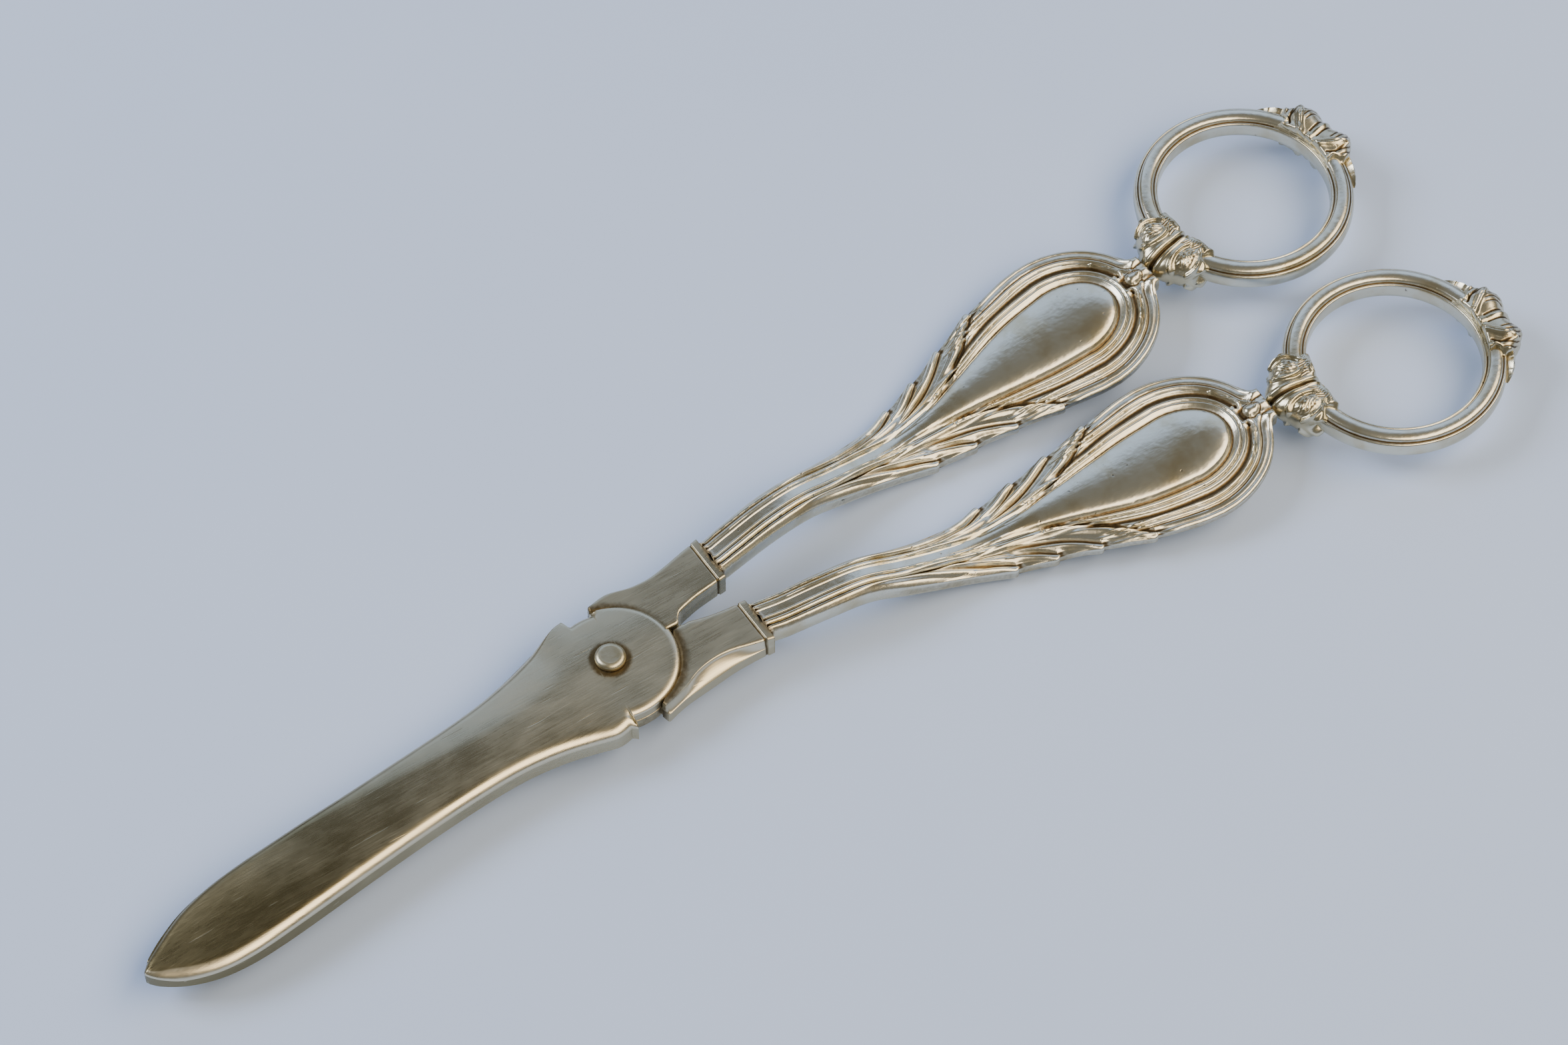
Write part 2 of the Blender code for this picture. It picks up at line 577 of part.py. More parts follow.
def lower_bolster(guides):
    """The -Y bolster, cut back over the lower plate to clear the upper disc."""
    low = bolster_outline(EAR_RADIUS, -1, LEFT_BOLSTER_LOW_SHARES)
    top = bolster_outline(EAR_RADIUS - EAR_SCOOP, -1, LEFT_BOLSTER_TOP_SHARES)
    item = bolster("lower_bolster", -1, low, top, guides)
    boolean(item, cylinder("upper_disc_clearance", DISC_RADIUS + TURN_CLEARANCE, LOWER_TOP - SMALL_ROLL,
                           UPPER_TOP + OVERRUN, guides), "DIFFERENCE")
    return item


def pivot_rivet(parts):
    """The rivet: a pin with a foot below and a domed head above."""
    seat = UPPER_TOP + HEAD_CLEARANCE
    shoulder = HEAD_RADIUS - HEAD_FLAT_RADIUS
    profile = [(0, seat + HEAD_HEIGHT), (HEAD_FLAT_RADIUS, seat + HEAD_HEIGHT)]
    for turn in HEAD_TURNS:
        angle = math.radians(turn)
        profile.append((HEAD_FLAT_RADIUS + shoulder * math.cos(angle),
                        seat + HEAD_WALL + (HEAD_HEIGHT - HEAD_WALL) * math.sin(angle)))
    profile += [(HEAD_RADIUS, seat), (PIN_RADIUS, seat), (PIN_RADIUS, LOWER_FLOOR),
                (HEAD_RADIUS, LOWER_FLOOR), (HEAD_RADIUS, LOWER_FLOOR - HEAD_WALL),
                (HEAD_FLAT_RADIUS, LOWER_FLOOR - FOOT_HEIGHT), (0, LOWER_FLOOR - FOOT_HEIGHT)]
    return turned("pivot_rivet", profile, parts, metal("polished_rivet", PLATED, 0.2))


def handle_path():
    """The centre line of the +Y handle, from the bolster to the collar."""
    reach = COLLAR_REACH + SEAT_CLEARANCE
    start = np.array((BOLSTER_END + SEAT_CLEARANCE, BOLSTER_Y, BOLSTER_MIDDLE))
    run = np.array((RING_X - reach * math.cos(RING_TURN) - start[0],
                    MIDLINE + RING_Y - reach * math.sin(RING_TURN) - start[1], -BELLY_DROP))
    return smooth(start + run * np.array(HANDLE_PATH_SHARES))


def handle_rows(path):
    """For the relief: x of the widest place, and the rows along the handle up to it."""
    widest = path[-1, 0] - CAP_TO_COLLAR - CAP_LENGTH
    even = list(np.linspace(0, 1, ROW_COUNT))
    tips = [share for tip in LOBE_TIP_SHARES for share in (tip, tip + LOBE_STEP_SHARE)]
    shares = np.array(sorted(set(even + tips)))
    return widest, path[0, 0] + shares * (widest - path[0, 0]), shares


def half_width(shares):
    """Half width of the handle without its lobes, from the stem to the widest place."""
    table = smooth(HANDLE_WIDENING_SHARES)
    rise = np.interp(shares, table[:, 0], table[:, 1])
    return (STEM_WIDTH + (MEDALLION_WIDTH - STEM_WIDTH) * rise) / 2


def lobe_step(shares):
    """How far the leaf lobes stand out along the edge: each grows to its tip and ends there."""
    out = np.zeros(len(shares))
    start = LOBE_START_SHARE
    for tip in LOBE_TIP_SHARES:
        inside = (shares > start) & (shares <= tip)
        out[inside] = ((shares[inside] - start) / (tip - start)) ** 2
        start = tip
    return LOBE_DEPTH * out


def relief(row_x, path, widest):
    """The relief at each row: places across it, heights over the middle, and how far it has changed."""
    start = path[0, 0] + MEDALLION_START
    blend = np.clip((row_x - start) / (widest - start), 0, 1)
    blend = blend ** 2 * (3 - 2 * blend)
    stem, medallion = np.array(STEM_RELIEF_SHARES), np.array(MEDALLION_RELIEF_SHARES)
    place = stem[:, 0] + (medallion[:, 0] - stem[:, 0]) * blend[:, None]
    lift = stem[:, 1] + (medallion[:, 1] - stem[:, 1]) * blend[:, None]
    thick = (STEM_HEIGHT + (MEDALLION_HEIGHT - STEM_HEIGHT) * blend) / 2
    return place, lift * thick[:, None]


def handle_surface(path):
    """Points of the handle's top: rows run from the centre line out, columns round the medallion.

    A column is one cross line, from the stem's +Y side, round the end of the medallion and back
    along the -Y side. Each point has x, y, its height over the middle, and the middle's height.
    """
    widest, row_x, shares = handle_rows(path)
    centre = np.column_stack([np.interp(row_x, path[:, 0], path[:, axis]) for axis in range(3)])
    slope = np.gradient(centre[:, 1], centre[:, 0])
    slope[0] = 0                      # the stem ends square against the bolster
    across = np.column_stack([-slope, np.ones(len(slope))]) / np.hypot(1, slope)[:, None]
    place, height = relief(row_x, path, widest)
    half = half_width(shares)
    outer = place * half[:, None]
    outer[:, -2:] += lobe_step(shares)[:, None]
    columns = []
    for side in (1, -1):
        x = centre[:, 0, None] + side * outer * across[:, 0, None]
        y = centre[:, 1, None] + side * outer * across[:, 1, None]
        columns.append(np.stack([x, y, height, np.broadcast_to(centre[:, 2, None], x.shape)], -1))
    cap = medallion_cap(centre[-1], half[-1], height[-1], math.atan(slope[-1]), path)
    return np.concatenate([columns[0], cap, columns[1][::-1]])


def medallion_cap(centre, half, height, direction, path):
    """The relief's columns round the end of the medallion."""
    place = np.array(MEDALLION_RELIEF_SHARES)[:, 0]
    columns = []
    for turn in np.linspace(math.pi / 2, -math.pi / 2, CAP_COUNT + 1)[1:-1]:
        along = CAP_LENGTH * math.cos(turn)
        aside = half * math.sin(turn)
        x = centre[0] + place * (along * math.cos(direction) - aside * math.sin(direction))
        y = centre[1] + place * (along * math.sin(direction) + aside * math.cos(direction))
        columns.append(np.stack([x, y, height, np.interp(x, path[:, 0], path[:, 2])], -1))
    return np.array(columns)


def handle_faces(columns, rows):
    """Faces of the top, the underside, the edge wall and the stem's end."""
    shift = columns * rows
    faces = []
    for column in range(columns - 1):
        for row in range(rows - 1):
            a, b = column * rows + row, (column + 1) * rows + row
            faces.append((a, b, b + 1, a + 1))
            faces.append((a + shift, a + 1 + shift, b + 1 + shift, b + shift))
        edge = column * rows + rows - 1
        faces.append((edge, edge + rows, edge + rows + shift, edge + shift))
    first, last = list(range(rows)), [(columns - 1) * rows + row for row in range(rows)]
    top = first[::-1] + last[1:]
    faces.append(tuple(top + [point + shift for point in top[::-1]]))
    return faces


def handle(name, side, parts, guides):
    """One handle: the relief on both faces, tang, neck, bead and peg, less the worn flat under it."""
    path = handle_path()
    surface = handle_surface(path)
    top = np.dstack([surface[..., :2], surface[..., 3] + surface[..., 2]]).reshape(-1, 3)
    bottom = np.dstack([surface[..., :2], surface[..., 3] - surface[..., 2]]).reshape(-1, 3)
    mesh = mesh_from(name, np.vstack([top, bottom]), handle_faces(*surface.shape[:2]))
    item = add_object(name, mesh, parts, metal("plated_" + name, PLATED, 0.28))
    for joined in (tang(name, guides), neck(name, guides), bead(name, path, guides)):
        boolean(item, joined, "UNION")
    rest = block(name + "_rest", (0, -RING_X, -OVERRUN), (RING_X, RING_X, 0), guides)
    boolean(item, rest, "DIFFERENCE")
    return item if side > 0 else mirror_now(item)


def tang(name, guides):
    """The flat end of the handle, inside the bolster."""
    return block(name + "_tang",
                 (BOLSTER_END - TANG_LENGTH, BOLSTER_Y - TANG_WIDTH / 2, BOLSTER_MIDDLE - TANG_HEIGHT / 2),
                 (BOLSTER_END + STEM_HEIGHT, BOLSTER_Y + TANG_WIDTH / 2, BOLSTER_MIDDLE + TANG_HEIGHT / 2), guides)


def neck(name, guides):
    """The neck between medallion and collar, with the peg that the collar holds."""
    face = -COLLAR_REACH - SEAT_CLEARANCE
    side = smooth([(face - NECK_LENGTH * back, NECK_WIDTH / 2 * wide) for back, wide in NECK_SHARES])
    outline = np.vstack([side, side[::-1] * np.array((1, -1))])
    rolls = np.full(len(outline), NECK_ROLL)
    rolls[[0, -1]] = SMALL_ROLL
    rolls[len(side) - 2 * STEPS_PER_SPAN:len(side) + 2 * STEPS_PER_SPAN] = SMALL_ROLL
    item = rolled_plate(name + "_neck", outline, BOLSTER_MIDDLE - NECK_HEIGHT / 2,
                        BOLSTER_MIDDLE + NECK_HEIGHT / 2, rolls, rolls, guides)
    end = peg(name + "_peg", PEG_RADIUS, face - NECK_LENGTH / 2, face + PEG_LENGTH, guides)
    for piece in (item, end):
        piece.matrix_world = ring_frame() @ piece.matrix_world
    boolean(item, end, "UNION")
    return item


def ring_frame():
    """The place of the +Y ring in the plane: its centre and its turn."""
    return Matrix.Translation((RING_X, MIDLINE + RING_Y, 0)) @ Matrix.Rotation(RING_TURN, 4, "Z")


def bead(name, path, guides):
    """The round bead at the medallion's cusp."""
    x = path[-1, 0] - CAP_TO_COLLAR - BEAD_TO_CAP
    place = [np.interp(x, path[:, 0], path[:, axis]) for axis in range(3)]
    bpy.ops.mesh.primitive_uv_sphere_add(segments=PEG_STEPS, ring_count=PEG_STEPS // 2,
                                         radius=BEAD_RADIUS, location=place)
    item = bpy.context.object
    item.name = name + "_bead"
    move_to(item, guides)
    stretch = (MEDALLION_HEIGHT / 2 * BEAD_LEVEL_SHARE + BEAD_RISE) / BEAD_RADIUS
    item.data.transform(Matrix.Diagonal((1, 1, stretch, 1)))
    return item


def hoop(name, parts):
    """The finger ring, turned: a grooved band with a smooth bore."""
    half = HOOP_HEIGHT / 2
    bottom = [(HOLE_RADIUS + HOOP_WIDTH * x, BOLSTER_MIDDLE + half * z) for x, z in HOOP_SECTION_SHARES]
    top = [(radius, 2 * BOLSTER_MIDDLE - height) for radius, height in bottom[::-1]]
    return turned(name, bottom + top, parts, metal("plated_" + name, PLATED, 0.25))


def hoop_channel(name, guides):
    """The turned space that a collar or a crest keeps round the hoop, open to the finger hole."""
    high = HOOP_HEIGHT / 2 + SEAT_CLEARANCE
    outer = HOOP_OUTER + SEAT_CLEARANCE
    inner = HOLE_RADIUS - OVERRUN
    low, top = BOLSTER_MIDDLE - high, BOLSTER_MIDDLE + high
    return turned(name, [(outer, top), (outer, low), (inner, low), (inner, top)], guides)


def ornament(name, inner, outer, inner_radius, parts, guides):
    """A cast leaf piece that clasps the hoop: its outline in plan, rounded, less the hoop's channel."""
    outline = np.vstack([outer, inner])
    radius = np.linalg.norm(outline, axis=1)
    rolls = np.where(radius > inner_radius + SEAT_CLEARANCE, ORNAMENT_ROLL, SMALL_ROLL)
    item = rolled_plate(name, outline, BOLSTER_MIDDLE - ORNAMENT_HALF, BOLSTER_MIDDLE + ORNAMENT_HALF,
                        rolls, rolls, parts, metal("tarnished_" + name, TARNISHED, 0.35))
    boolean(item, hoop_channel(name + "_channel", guides), "DIFFERENCE")
    return item


def leaf_side(half_angle, middle, depth, shares, turn_sign):
    """One side of a leafy outline round the hoop, from its end to its middle."""
    return smooth([polar(HOOP_OUTER + depth * out, middle + turn_sign * half_angle * share)
                   for share, out in shares])


def collar(name, parts, guides):
    """The leaf collar round the hoop where the handle meets it."""
    inner = arc(HOLE_RADIUS, math.pi + COLLAR_HALF_ANGLE, math.pi - COLLAR_HALF_ANGLE)
    one_side = leaf_side(COLLAR_HALF_ANGLE, math.pi, COLLAR_DEPTH, COLLAR_OUTER_SHARES, -1)
    face = [np.array((-COLLAR_REACH, NECK_WIDTH / 2)), np.array((-COLLAR_REACH, -NECK_WIDTH / 2))]
    other_side = one_side[::-1] * np.array((1, -1))
    item = ornament(name, inner, np.vstack([one_side, face, other_side]), HOLE_RADIUS, parts, guides)
    socket = peg(name + "_socket", PEG_RADIUS + SEAT_CLEARANCE, -COLLAR_REACH - OVERRUN,
                 -COLLAR_REACH + PEG_LENGTH + SEAT_CLEARANCE, guides)
    boolean(item, socket, "DIFFERENCE")
    return item


def crest(name, parts, guides):
    """The leafy crest on the ring, opposite the collar."""
    radius = HOLE_RADIUS + CREST_INSET
    outside = HOOP_OUTER + SEAT_CLEARANCE
    clasp = [polar(outside, CREST_CLASP_ANGLE), *arc(radius, CREST_CLASP_ANGLE - ARC_STEP / 2, 0)]
    inner = np.vstack([arc(outside, CREST_HALF_ANGLE, CREST_CLASP_ANGLE)[:-1], clasp])
    inner = np.vstack([inner, inner[-2::-1] * np.array((1, -1))])
    one_side = leaf_side(CREST_HALF_ANGLE, 0, CREST_DEPTH, CREST_OUTER_SHARES, -1)
    other_side = one_side[-2::-1] * np.array((1, -1))
    return ornament(name, inner, np.vstack([one_side, other_side]), radius, parts, guides)


def freeze(item):
    """Apply an object's modifiers and its place, so that its mesh can be mirrored or moved."""
    graph = bpy.context.evaluated_depsgraph_get()
    mesh = bpy.data.meshes.new_from_object(item.evaluated_get(graph))
    mesh.transform(item.matrix_world)
    mesh.name = item.name
    item.modifiers.clear()
    item.data = mesh
    item.matrix_world = Matrix.Identity(4)
    return item


def mirror_now(item):
    """Mirror an object to the other side of the midline."""
    freeze(item)
    across = Matrix.Translation((0, MIDLINE, 0)) @ Matrix.Scale(-1, 4, (0, 1, 0))
    item.data.transform(across @ Matrix.Translation((0, -MIDLINE, 0)))
    item.data.flip_normals()
    return item


def ring_group(prefix, side, parts, guides):
    """A hoop with its collar and crest, at its place on one side."""
    pieces = [hoop(prefix + "_ring", parts), collar(prefix + "_ring_collar", parts, guides),
              crest(prefix + "_ring_crest", parts, guides)]
    for piece in pieces:
        freeze(piece)
        piece.data.transform(ring_frame())
        if side < 0:
            mirror_now(piece)
    return pieces


def shade(item):
    """Shade the round faces smooth and keep the sharp edges."""
    item.data.shade_smooth()
    item.data.set_sharp_from_angle(angle=SHARP_ANGLE)


def footprint_middle(pieces):
    """The middle of the finished pieces' box in plan."""
    corners = [vertex.co for piece in pieces for vertex in piece.data.vertices]
    low, high = np.min(corners, axis=0), np.max(corners, axis=0)
    return Vector(((low[0] + high[0]) / 2, (low[1] + high[1]) / 2, 0))


def hinge_empty(guides, place):
    """The empty on the pivot axis that the upper lever turns with."""
    empty = bpy.data.objects.new("pivot_axis", None)
    empty.location = place
    guides.objects.link(empty)
    return empty


def build():
    """Build the shears."""
    clear_scene()
    parts = new_collection("grape_shears")
    guides = new_collection("cutters")
    upper = [upper_blade(parts, guides), handle("right_handle", 1, parts, guides),
             *ring_group("right", 1, parts, guides)]
    lower = [lower_blade(parts, guides), handle("left_handle", -1, parts, guides),
             *ring_group("left", -1, parts, guides), pivot_rivet(parts)]
    for item in upper + lower:
        freeze(item)
        shade(item)
    middle = footprint_middle(upper + lower)
    for item in upper + lower:
        item.data.transform(Matrix.Translation(-middle))
    axis = hinge_empty(guides, Vector((0, 0, UPPER_FLOOR)) - middle)
    bpy.context.view_layer.update()
    for item in upper:
        item.parent = axis
        item.matrix_parent_inverse = axis.matrix_world.inverted()


build()
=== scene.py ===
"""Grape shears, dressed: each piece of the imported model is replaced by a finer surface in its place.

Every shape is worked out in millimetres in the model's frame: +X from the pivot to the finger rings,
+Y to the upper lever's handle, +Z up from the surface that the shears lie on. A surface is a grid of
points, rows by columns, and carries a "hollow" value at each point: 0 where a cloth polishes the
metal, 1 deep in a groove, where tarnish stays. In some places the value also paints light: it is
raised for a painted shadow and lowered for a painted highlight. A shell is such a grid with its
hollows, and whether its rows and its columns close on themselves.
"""

import math

import bmesh
import bpy
import numpy as np
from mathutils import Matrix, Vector


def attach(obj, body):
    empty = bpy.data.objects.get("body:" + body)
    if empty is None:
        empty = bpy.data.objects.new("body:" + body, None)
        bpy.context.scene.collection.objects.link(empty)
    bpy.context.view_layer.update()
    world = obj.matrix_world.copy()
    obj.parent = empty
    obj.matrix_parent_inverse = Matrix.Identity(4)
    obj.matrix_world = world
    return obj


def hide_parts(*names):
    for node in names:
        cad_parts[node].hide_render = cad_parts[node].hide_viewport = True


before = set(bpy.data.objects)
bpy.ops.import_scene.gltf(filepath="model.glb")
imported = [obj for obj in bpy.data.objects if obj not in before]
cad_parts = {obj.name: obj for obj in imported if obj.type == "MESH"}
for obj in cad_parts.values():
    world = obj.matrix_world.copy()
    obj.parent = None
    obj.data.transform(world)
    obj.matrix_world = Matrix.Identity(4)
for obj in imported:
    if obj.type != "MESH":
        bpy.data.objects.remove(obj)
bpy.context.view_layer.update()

MM = 0.001
WELD = 0.002
SHARP_ANGLE = math.radians(38)

# Heights and places that the solids give, in millimetres
PIVOT = np.array((-25.999, -0.600))
LOWER_FLOOR = 3.215
LOWER_TOP = 4.715
UPPER_FLOOR = 4.915
UPPER_TOP = 6.415
BOLSTER_TOP = 6.065
RING_LEVEL = 4.640
RING_CENTRE = np.array((74.301, 14.900))
RING_TURN = math.radians(10)

# Handles
STEM_HALF = 2.45
MEDALLION_HALF = 10.2
CAP_LENGTH = 11.4
CAP_TO_COLLAR = 0.75
NECK_RUN = 0.9
NECK_HALF = 2.2
NECK_HEIGHT = 1.18
HANDLE_STATIONS = 226
CAP_STATIONS = 72
HANDLE_START = (-8.499, 5.10, RING_LEVEL)
HANDLE_RUN = (66.452, 6.917, -3.05)
# The centre line: x and y as shares of the run, and the drop as a share of the deepest drop
HANDLE_LINE = ((0.0, 0.0, -0.14), (0.040, 0.070, -0.18), (0.113, 0.166, -0.33), (0.188, 0.245, -0.27),
               (0.263, 0.338, 0.24), (0.338, 0.420, 0.68), (0.414, 0.488, 1.0), (0.489, 0.555, 0.95),
               (0.564, 0.635, 0.74), (0.640, 0.725, 0.60), (0.714, 0.806, 0.48), (0.820, 0.878, 0.31),
               (0.910, 0.921, 0.12), (0.970, 0.964, 0.02), (1.0, 1.0, 0.0))
# Half width: share of the way to the widest place, share of the rise from stem to medallion
WIDENING = ((0.0, 0.0), (0.06, 0.005), (0.14, 0.020), (0.24, 0.030), (0.33, 0.065), (0.42, 0.125),
            (0.51, 0.225), (0.60, 0.360), (0.69, 0.495), (0.79, 0.690), (0.88, 0.855), (0.95, 0.965),
            (1.0, 1.0))
# Half width of the raised boss in the medallion, and of the flute that it runs out in along the stem
BOSS_HALF = ((-8.5, 0.46), (6.0, 0.46), (14.0, 0.48), (20.0, 0.62), (25.0, 1.15), (30.0, 2.15),
             (35.0, 3.30), (40.0, 4.25), (45.7, 4.75))
BOSS_END = 6.3
# Heights over the handle's middle: the stem's crown and how far it falls at its edge, the flute, the
# boss's foot and its dome, the border of the medallion and its fall to the edge, the edge's wall
STEM_CROWN, STEM_FALL = 1.75, 0.50
FLUTE_HEIGHT = 1.71
BOSS_FOOT, BOSS_DOME = 1.12, 0.80
BORDER_HEIGHT, BORDER_FALL = 0.88, 0.34
WALL_HEIGHT = 0.66
EDGE_ROLL = 0.55
WALL_BULGE = 0.05
TANG_RUN = (-12.8, -7.6)
TANG_HALF = (1.5, 0.65)
# Reeds and threads: distance from where each set is measured, half width, rise, and how dark it is.
# Reeds count from the centre line, inner threads from the boss, and outer threads from the edge.
REEDS = ((0.62, 0.18, 0.10, -0.4), (0.84, 0.15, -0.24, 0.9), (1.20, 0.34, 0.10, -0.4),
         (1.58, 0.17, -0.34, 1.0), (1.98, 0.42, 0.10, -0.4))
INNER_THREADS = ((0.36, 0.36, -0.20, 0.75), (1.09, 0.42, 0.26, -0.4), (1.43, 0.16, -0.10, 0.7),
                 (1.78, 0.36, 0.20, -0.4), (2.45, 0.62, -0.20, 0.85))
OUTER_THREADS = ((2.36, 0.34, 0.20, -0.4), (2.04, 0.15, -0.10, 0.6), (1.72, 0.32, 0.18, -0.4),
                 (1.34, 0.20, -0.13, 0.8), (0.60, 0.20, -0.08, 0.5), (0.28, 0.30, 0.08, -0.3))
# Leaf lobes: where they start and where each tip lies, as shares of the way to the widest place, the
# length of the rounding at a tip, and the places on it that get a station of their own
LOBE_START = 0.46
LOBE_TIPS = (0.56, 0.65, 0.745, 0.855)
LOBE_DEPTH = 0.55
LOBE_HOOK = 0.0130
HOOK_PLACES = (1.3, 1, 0.8, 0.6, 0.42, 0.28, 0.15, 0.06, 0, -0.1, -0.5)
# Crest of each leaf lobe: x, and distance in from the plain edge, which the tip passes
LOBE_CRESTS = (
    ((2.0, 0.64), (10.0, 0.95), (14.0, 0.80), (17.0, 0.55), (19.5, 0.28), (21.8, -0.32)),
    ((10.0, 1.60), (16.0, 1.55), (19.0, 1.48), (22.0, 1.22), (24.5, 0.62), (26.7, -0.32)),
    ((15.0, 2.15), (22.0, 1.95), (24.0, 1.78), (27.0, 1.28), (29.5, 0.55), (31.8, -0.32)),
    ((8.0, 1.90), (14.0, 2.20), (20.0, 2.80), (24.0, 3.25), (27.0, 3.20), (31.0, 2.45), (34.5, 1.30),
     (37.8, -0.32)))
# Marks at the ring end, in places along from the widest point and out from the middle: a line, its half
# width, its rise, and how dark it is. They are the scroll, its eye, a groove, and the neck's three ribs.
NECK_MARKS = (
    (((7.3, 4.65), (7.85, 3.85), (8.45, 2.95), (9.0, 2.1), (9.15, 1.4), (8.8, 0.95), (8.35, 1.15),
      (8.4, 1.55)), 0.36, 0.30, -0.5),
    (((8.72, 1.45), (8.76, 1.55)), 0.26, -0.16, 0.9),
    (((10.5, 0.95), (11.3, 1.15), (12.2, 1.2)), 0.22, -0.20, 0.8),
    (((10.9, 0.0), (12.2, 0.0)), 0.70, 0.26, -0.3),
    (((11.2, 1.75), (12.2, 1.75)), 0.50, 0.20, -0.3))

# Rings
HOLE_RADIUS = 10.4
HOOP_WIDTH = 2.88
HOOP_HALF = 1.6
# Upper half of the hoop's section: share of its width from the bore out, share of its half height
HOOP_SECTION = ((0.0, 0.0), (0.0, 0.36), (0.015, 0.52), (0.05, 0.64), (0.11, 0.66), (0.155, 0.60),
                (0.18, 0.66), (0.22, 0.82), (0.29, 0.94), (0.42, 1.0), (0.58, 1.0), (0.70, 0.94),
                (0.77, 0.83), (0.81, 0.66), (0.835, 0.58), (0.87, 0.63), (0.93, 0.60), (0.975, 0.44),
                (1.0, 0.18), (1.0, 0.0))
# Millimetres to a radian on a carved skin and on a side leaf: round the ring, round the hoop's section
SKIN_RADII = (12.7, 1.75)
LEAF_RADII = (13.6, 2.0)
# How far the skins stand out: share of the way to their ends, millimetres
COLLAR_SWELL = ((0.0, 2.75), (0.18, 2.66), (0.32, 2.25), (0.45, 1.72), (0.60, 1.38), (0.75, 1.20),
                (0.88, 0.85), (0.97, 0.35), (1.0, 0.0))
CREST_SWELL = ((0.0, 1.30), (0.15, 1.15), (0.30, 1.45), (0.45, 1.72), (0.60, 1.60), (0.80, 0.95),
               (1.0, 0.2))
# Carved marks, in millimetres along and round from a skin's middle: a line, its half width, its rise,
# and how dark it is. The collar's petals curl round its bud.
BUD = (2.85, 1.75)
TOP_LEAF = ((1.4, 3.9), (3.0, 3.75), (4.4, 3.4), (5.3, 2.8))
COLLAR_MARKS = (
    ((BUD, (2.95, 1.8)), 1.25, 0.20, 0.25), (TOP_LEAF, 0.46, 0.24, -0.5), (TOP_LEAF, 0.12, -0.12, 0.8),
    (((0.0, 0.0), (0.0, 5.5)), 0.32, -0.34, 1.0), (((0.52, 0.0), (0.52, 5.5)), 0.34, 0.18, -0.5),
    (((4.9, 0.5), (5.2, 1.1)), 0.42, 0.26, -0.5))
SPEAR = ((0.7, 4.1), (1.5, 3.3), (2.5, 2.4), (3.5, 1.3))
CREST_MARKS = (
    (SPEAR, 0.58, 0.44, -0.8), (SPEAR, 0.11, -0.12, 0.7), (((4.2, 2.7), (4.5, 2.5)), 0.50, 0.34, -0.7),
    (((4.9, 1.6), (5.0, 1.4)), 0.42, 0.28, -0.7), (((2.0, 4.0), (2.5, 3.9)), 0.45, 0.28, -0.6),
    (((3.3, 3.7), (4.0, 3.5), (4.8, 3.1)), 0.26, 0.22, -0.6),
    (((0.4, 0.25), (2.6, 0.5), (5.2, 0.4)), 0.34, 0.18, -0.4),
    (((0.0, 0.0), (0.1, 4.4)), 0.46, 0.22, -0.3), (((0.55, 0.0), (0.6, 2.6)), 0.18, -0.16, 0.9),
    (((3.6, 1.4), (3.9, 2.2), (3.4, 3.0)), 0.20, -0.18, 0.9))
# The crest's long leaf down the rim: its middle line, in degrees round the ring and round the section
SIDE_LEAF = ((14, 14), (21, 11), (28, 8), (33, 6), (38, 4))
SIDE_LEAF_HALF = 0.72

# Blades, from the joint to the tip: x in millimetres from the pivot, y from the middle line
BACK_EDGE = ((-2.05, -9.07), (-4.29, -9.43), (-7.23, -8.67), (-10.62, -7.92), (-14.40, -7.49),
             (-18.24, -7.46), (-23.49, -7.80), (-29.50, -8.40), (-36.99, -9.30), (-43.01, -10.10),
             (-48.51, -10.76), (-52.80, -11.02), (-56.58, -10.71), (-60.0, -9.64), (-62.59, -8.06),
             (-64.0, -6.53))
CUTTING_EDGE = ((-1.74, 7.11), (-3.20, 6.85), (-5.63, 5.95), (-8.19, 5.05), (-11.20, 4.10),
                (-14.91, 3.20), (-18.62, 2.60), (-22.40, 2.14), (-27.78, 1.60), (-33.98, 1.0),
                (-39.42, 0.56), (-44.99, 0.0), (-49.98, -0.51), (-53.50, -1.08), (-57.02, -2.12),
                (-60.22, -3.68), (-62.59, -5.20), (-64.0, -6.53))
DISC_RADIUS = 7.9
NOTCH_RADIUS = 6.9
STOP_TURN = math.radians(12.75)
BACK_ROLL = 1.35
BACK_ROLL_MORE = 0.35
BACK_DROP = 1.05
CUTTING_ROLL = 1.1
LEAST_ROLL = 0.2
DISC_ROLL = 0.95
DISC_STEP = 0.50
FLANGE = 1.6
FLANGE_ROOM = 1.95
CUTTING_INSET = 0.25
THIN_EDGE = 0.12
CAMBER = 0.26
DISC_DOME = 0.0080
TIP = -64.0
TIP_RUN = 17.0
TIP_DROP = 1.1
TIP_UNDERCUT = 1.3
NOSE = np.array((-63.293, -5.930))
NOSE_RADIUS = 0.5
# Width of the facet along the cutting edge, from the tip to the joint, and its slope
FACET = ((-64, 0.2), (-55, 0.5), (-46, 0.9), (-36, 1.7), (-26, 3.0), (-16, 4.6), (-6, 5.6), (0, 6.0))
FACET_SLOPE = 0.095
# The lower plate: its tip, and the step that runs out under the -Y bolster
LOWER_TIP = -62.6
STEP_START = 1.92
STEP_RADIUS = 8.5
LOWER_ROUNDING = 0.15

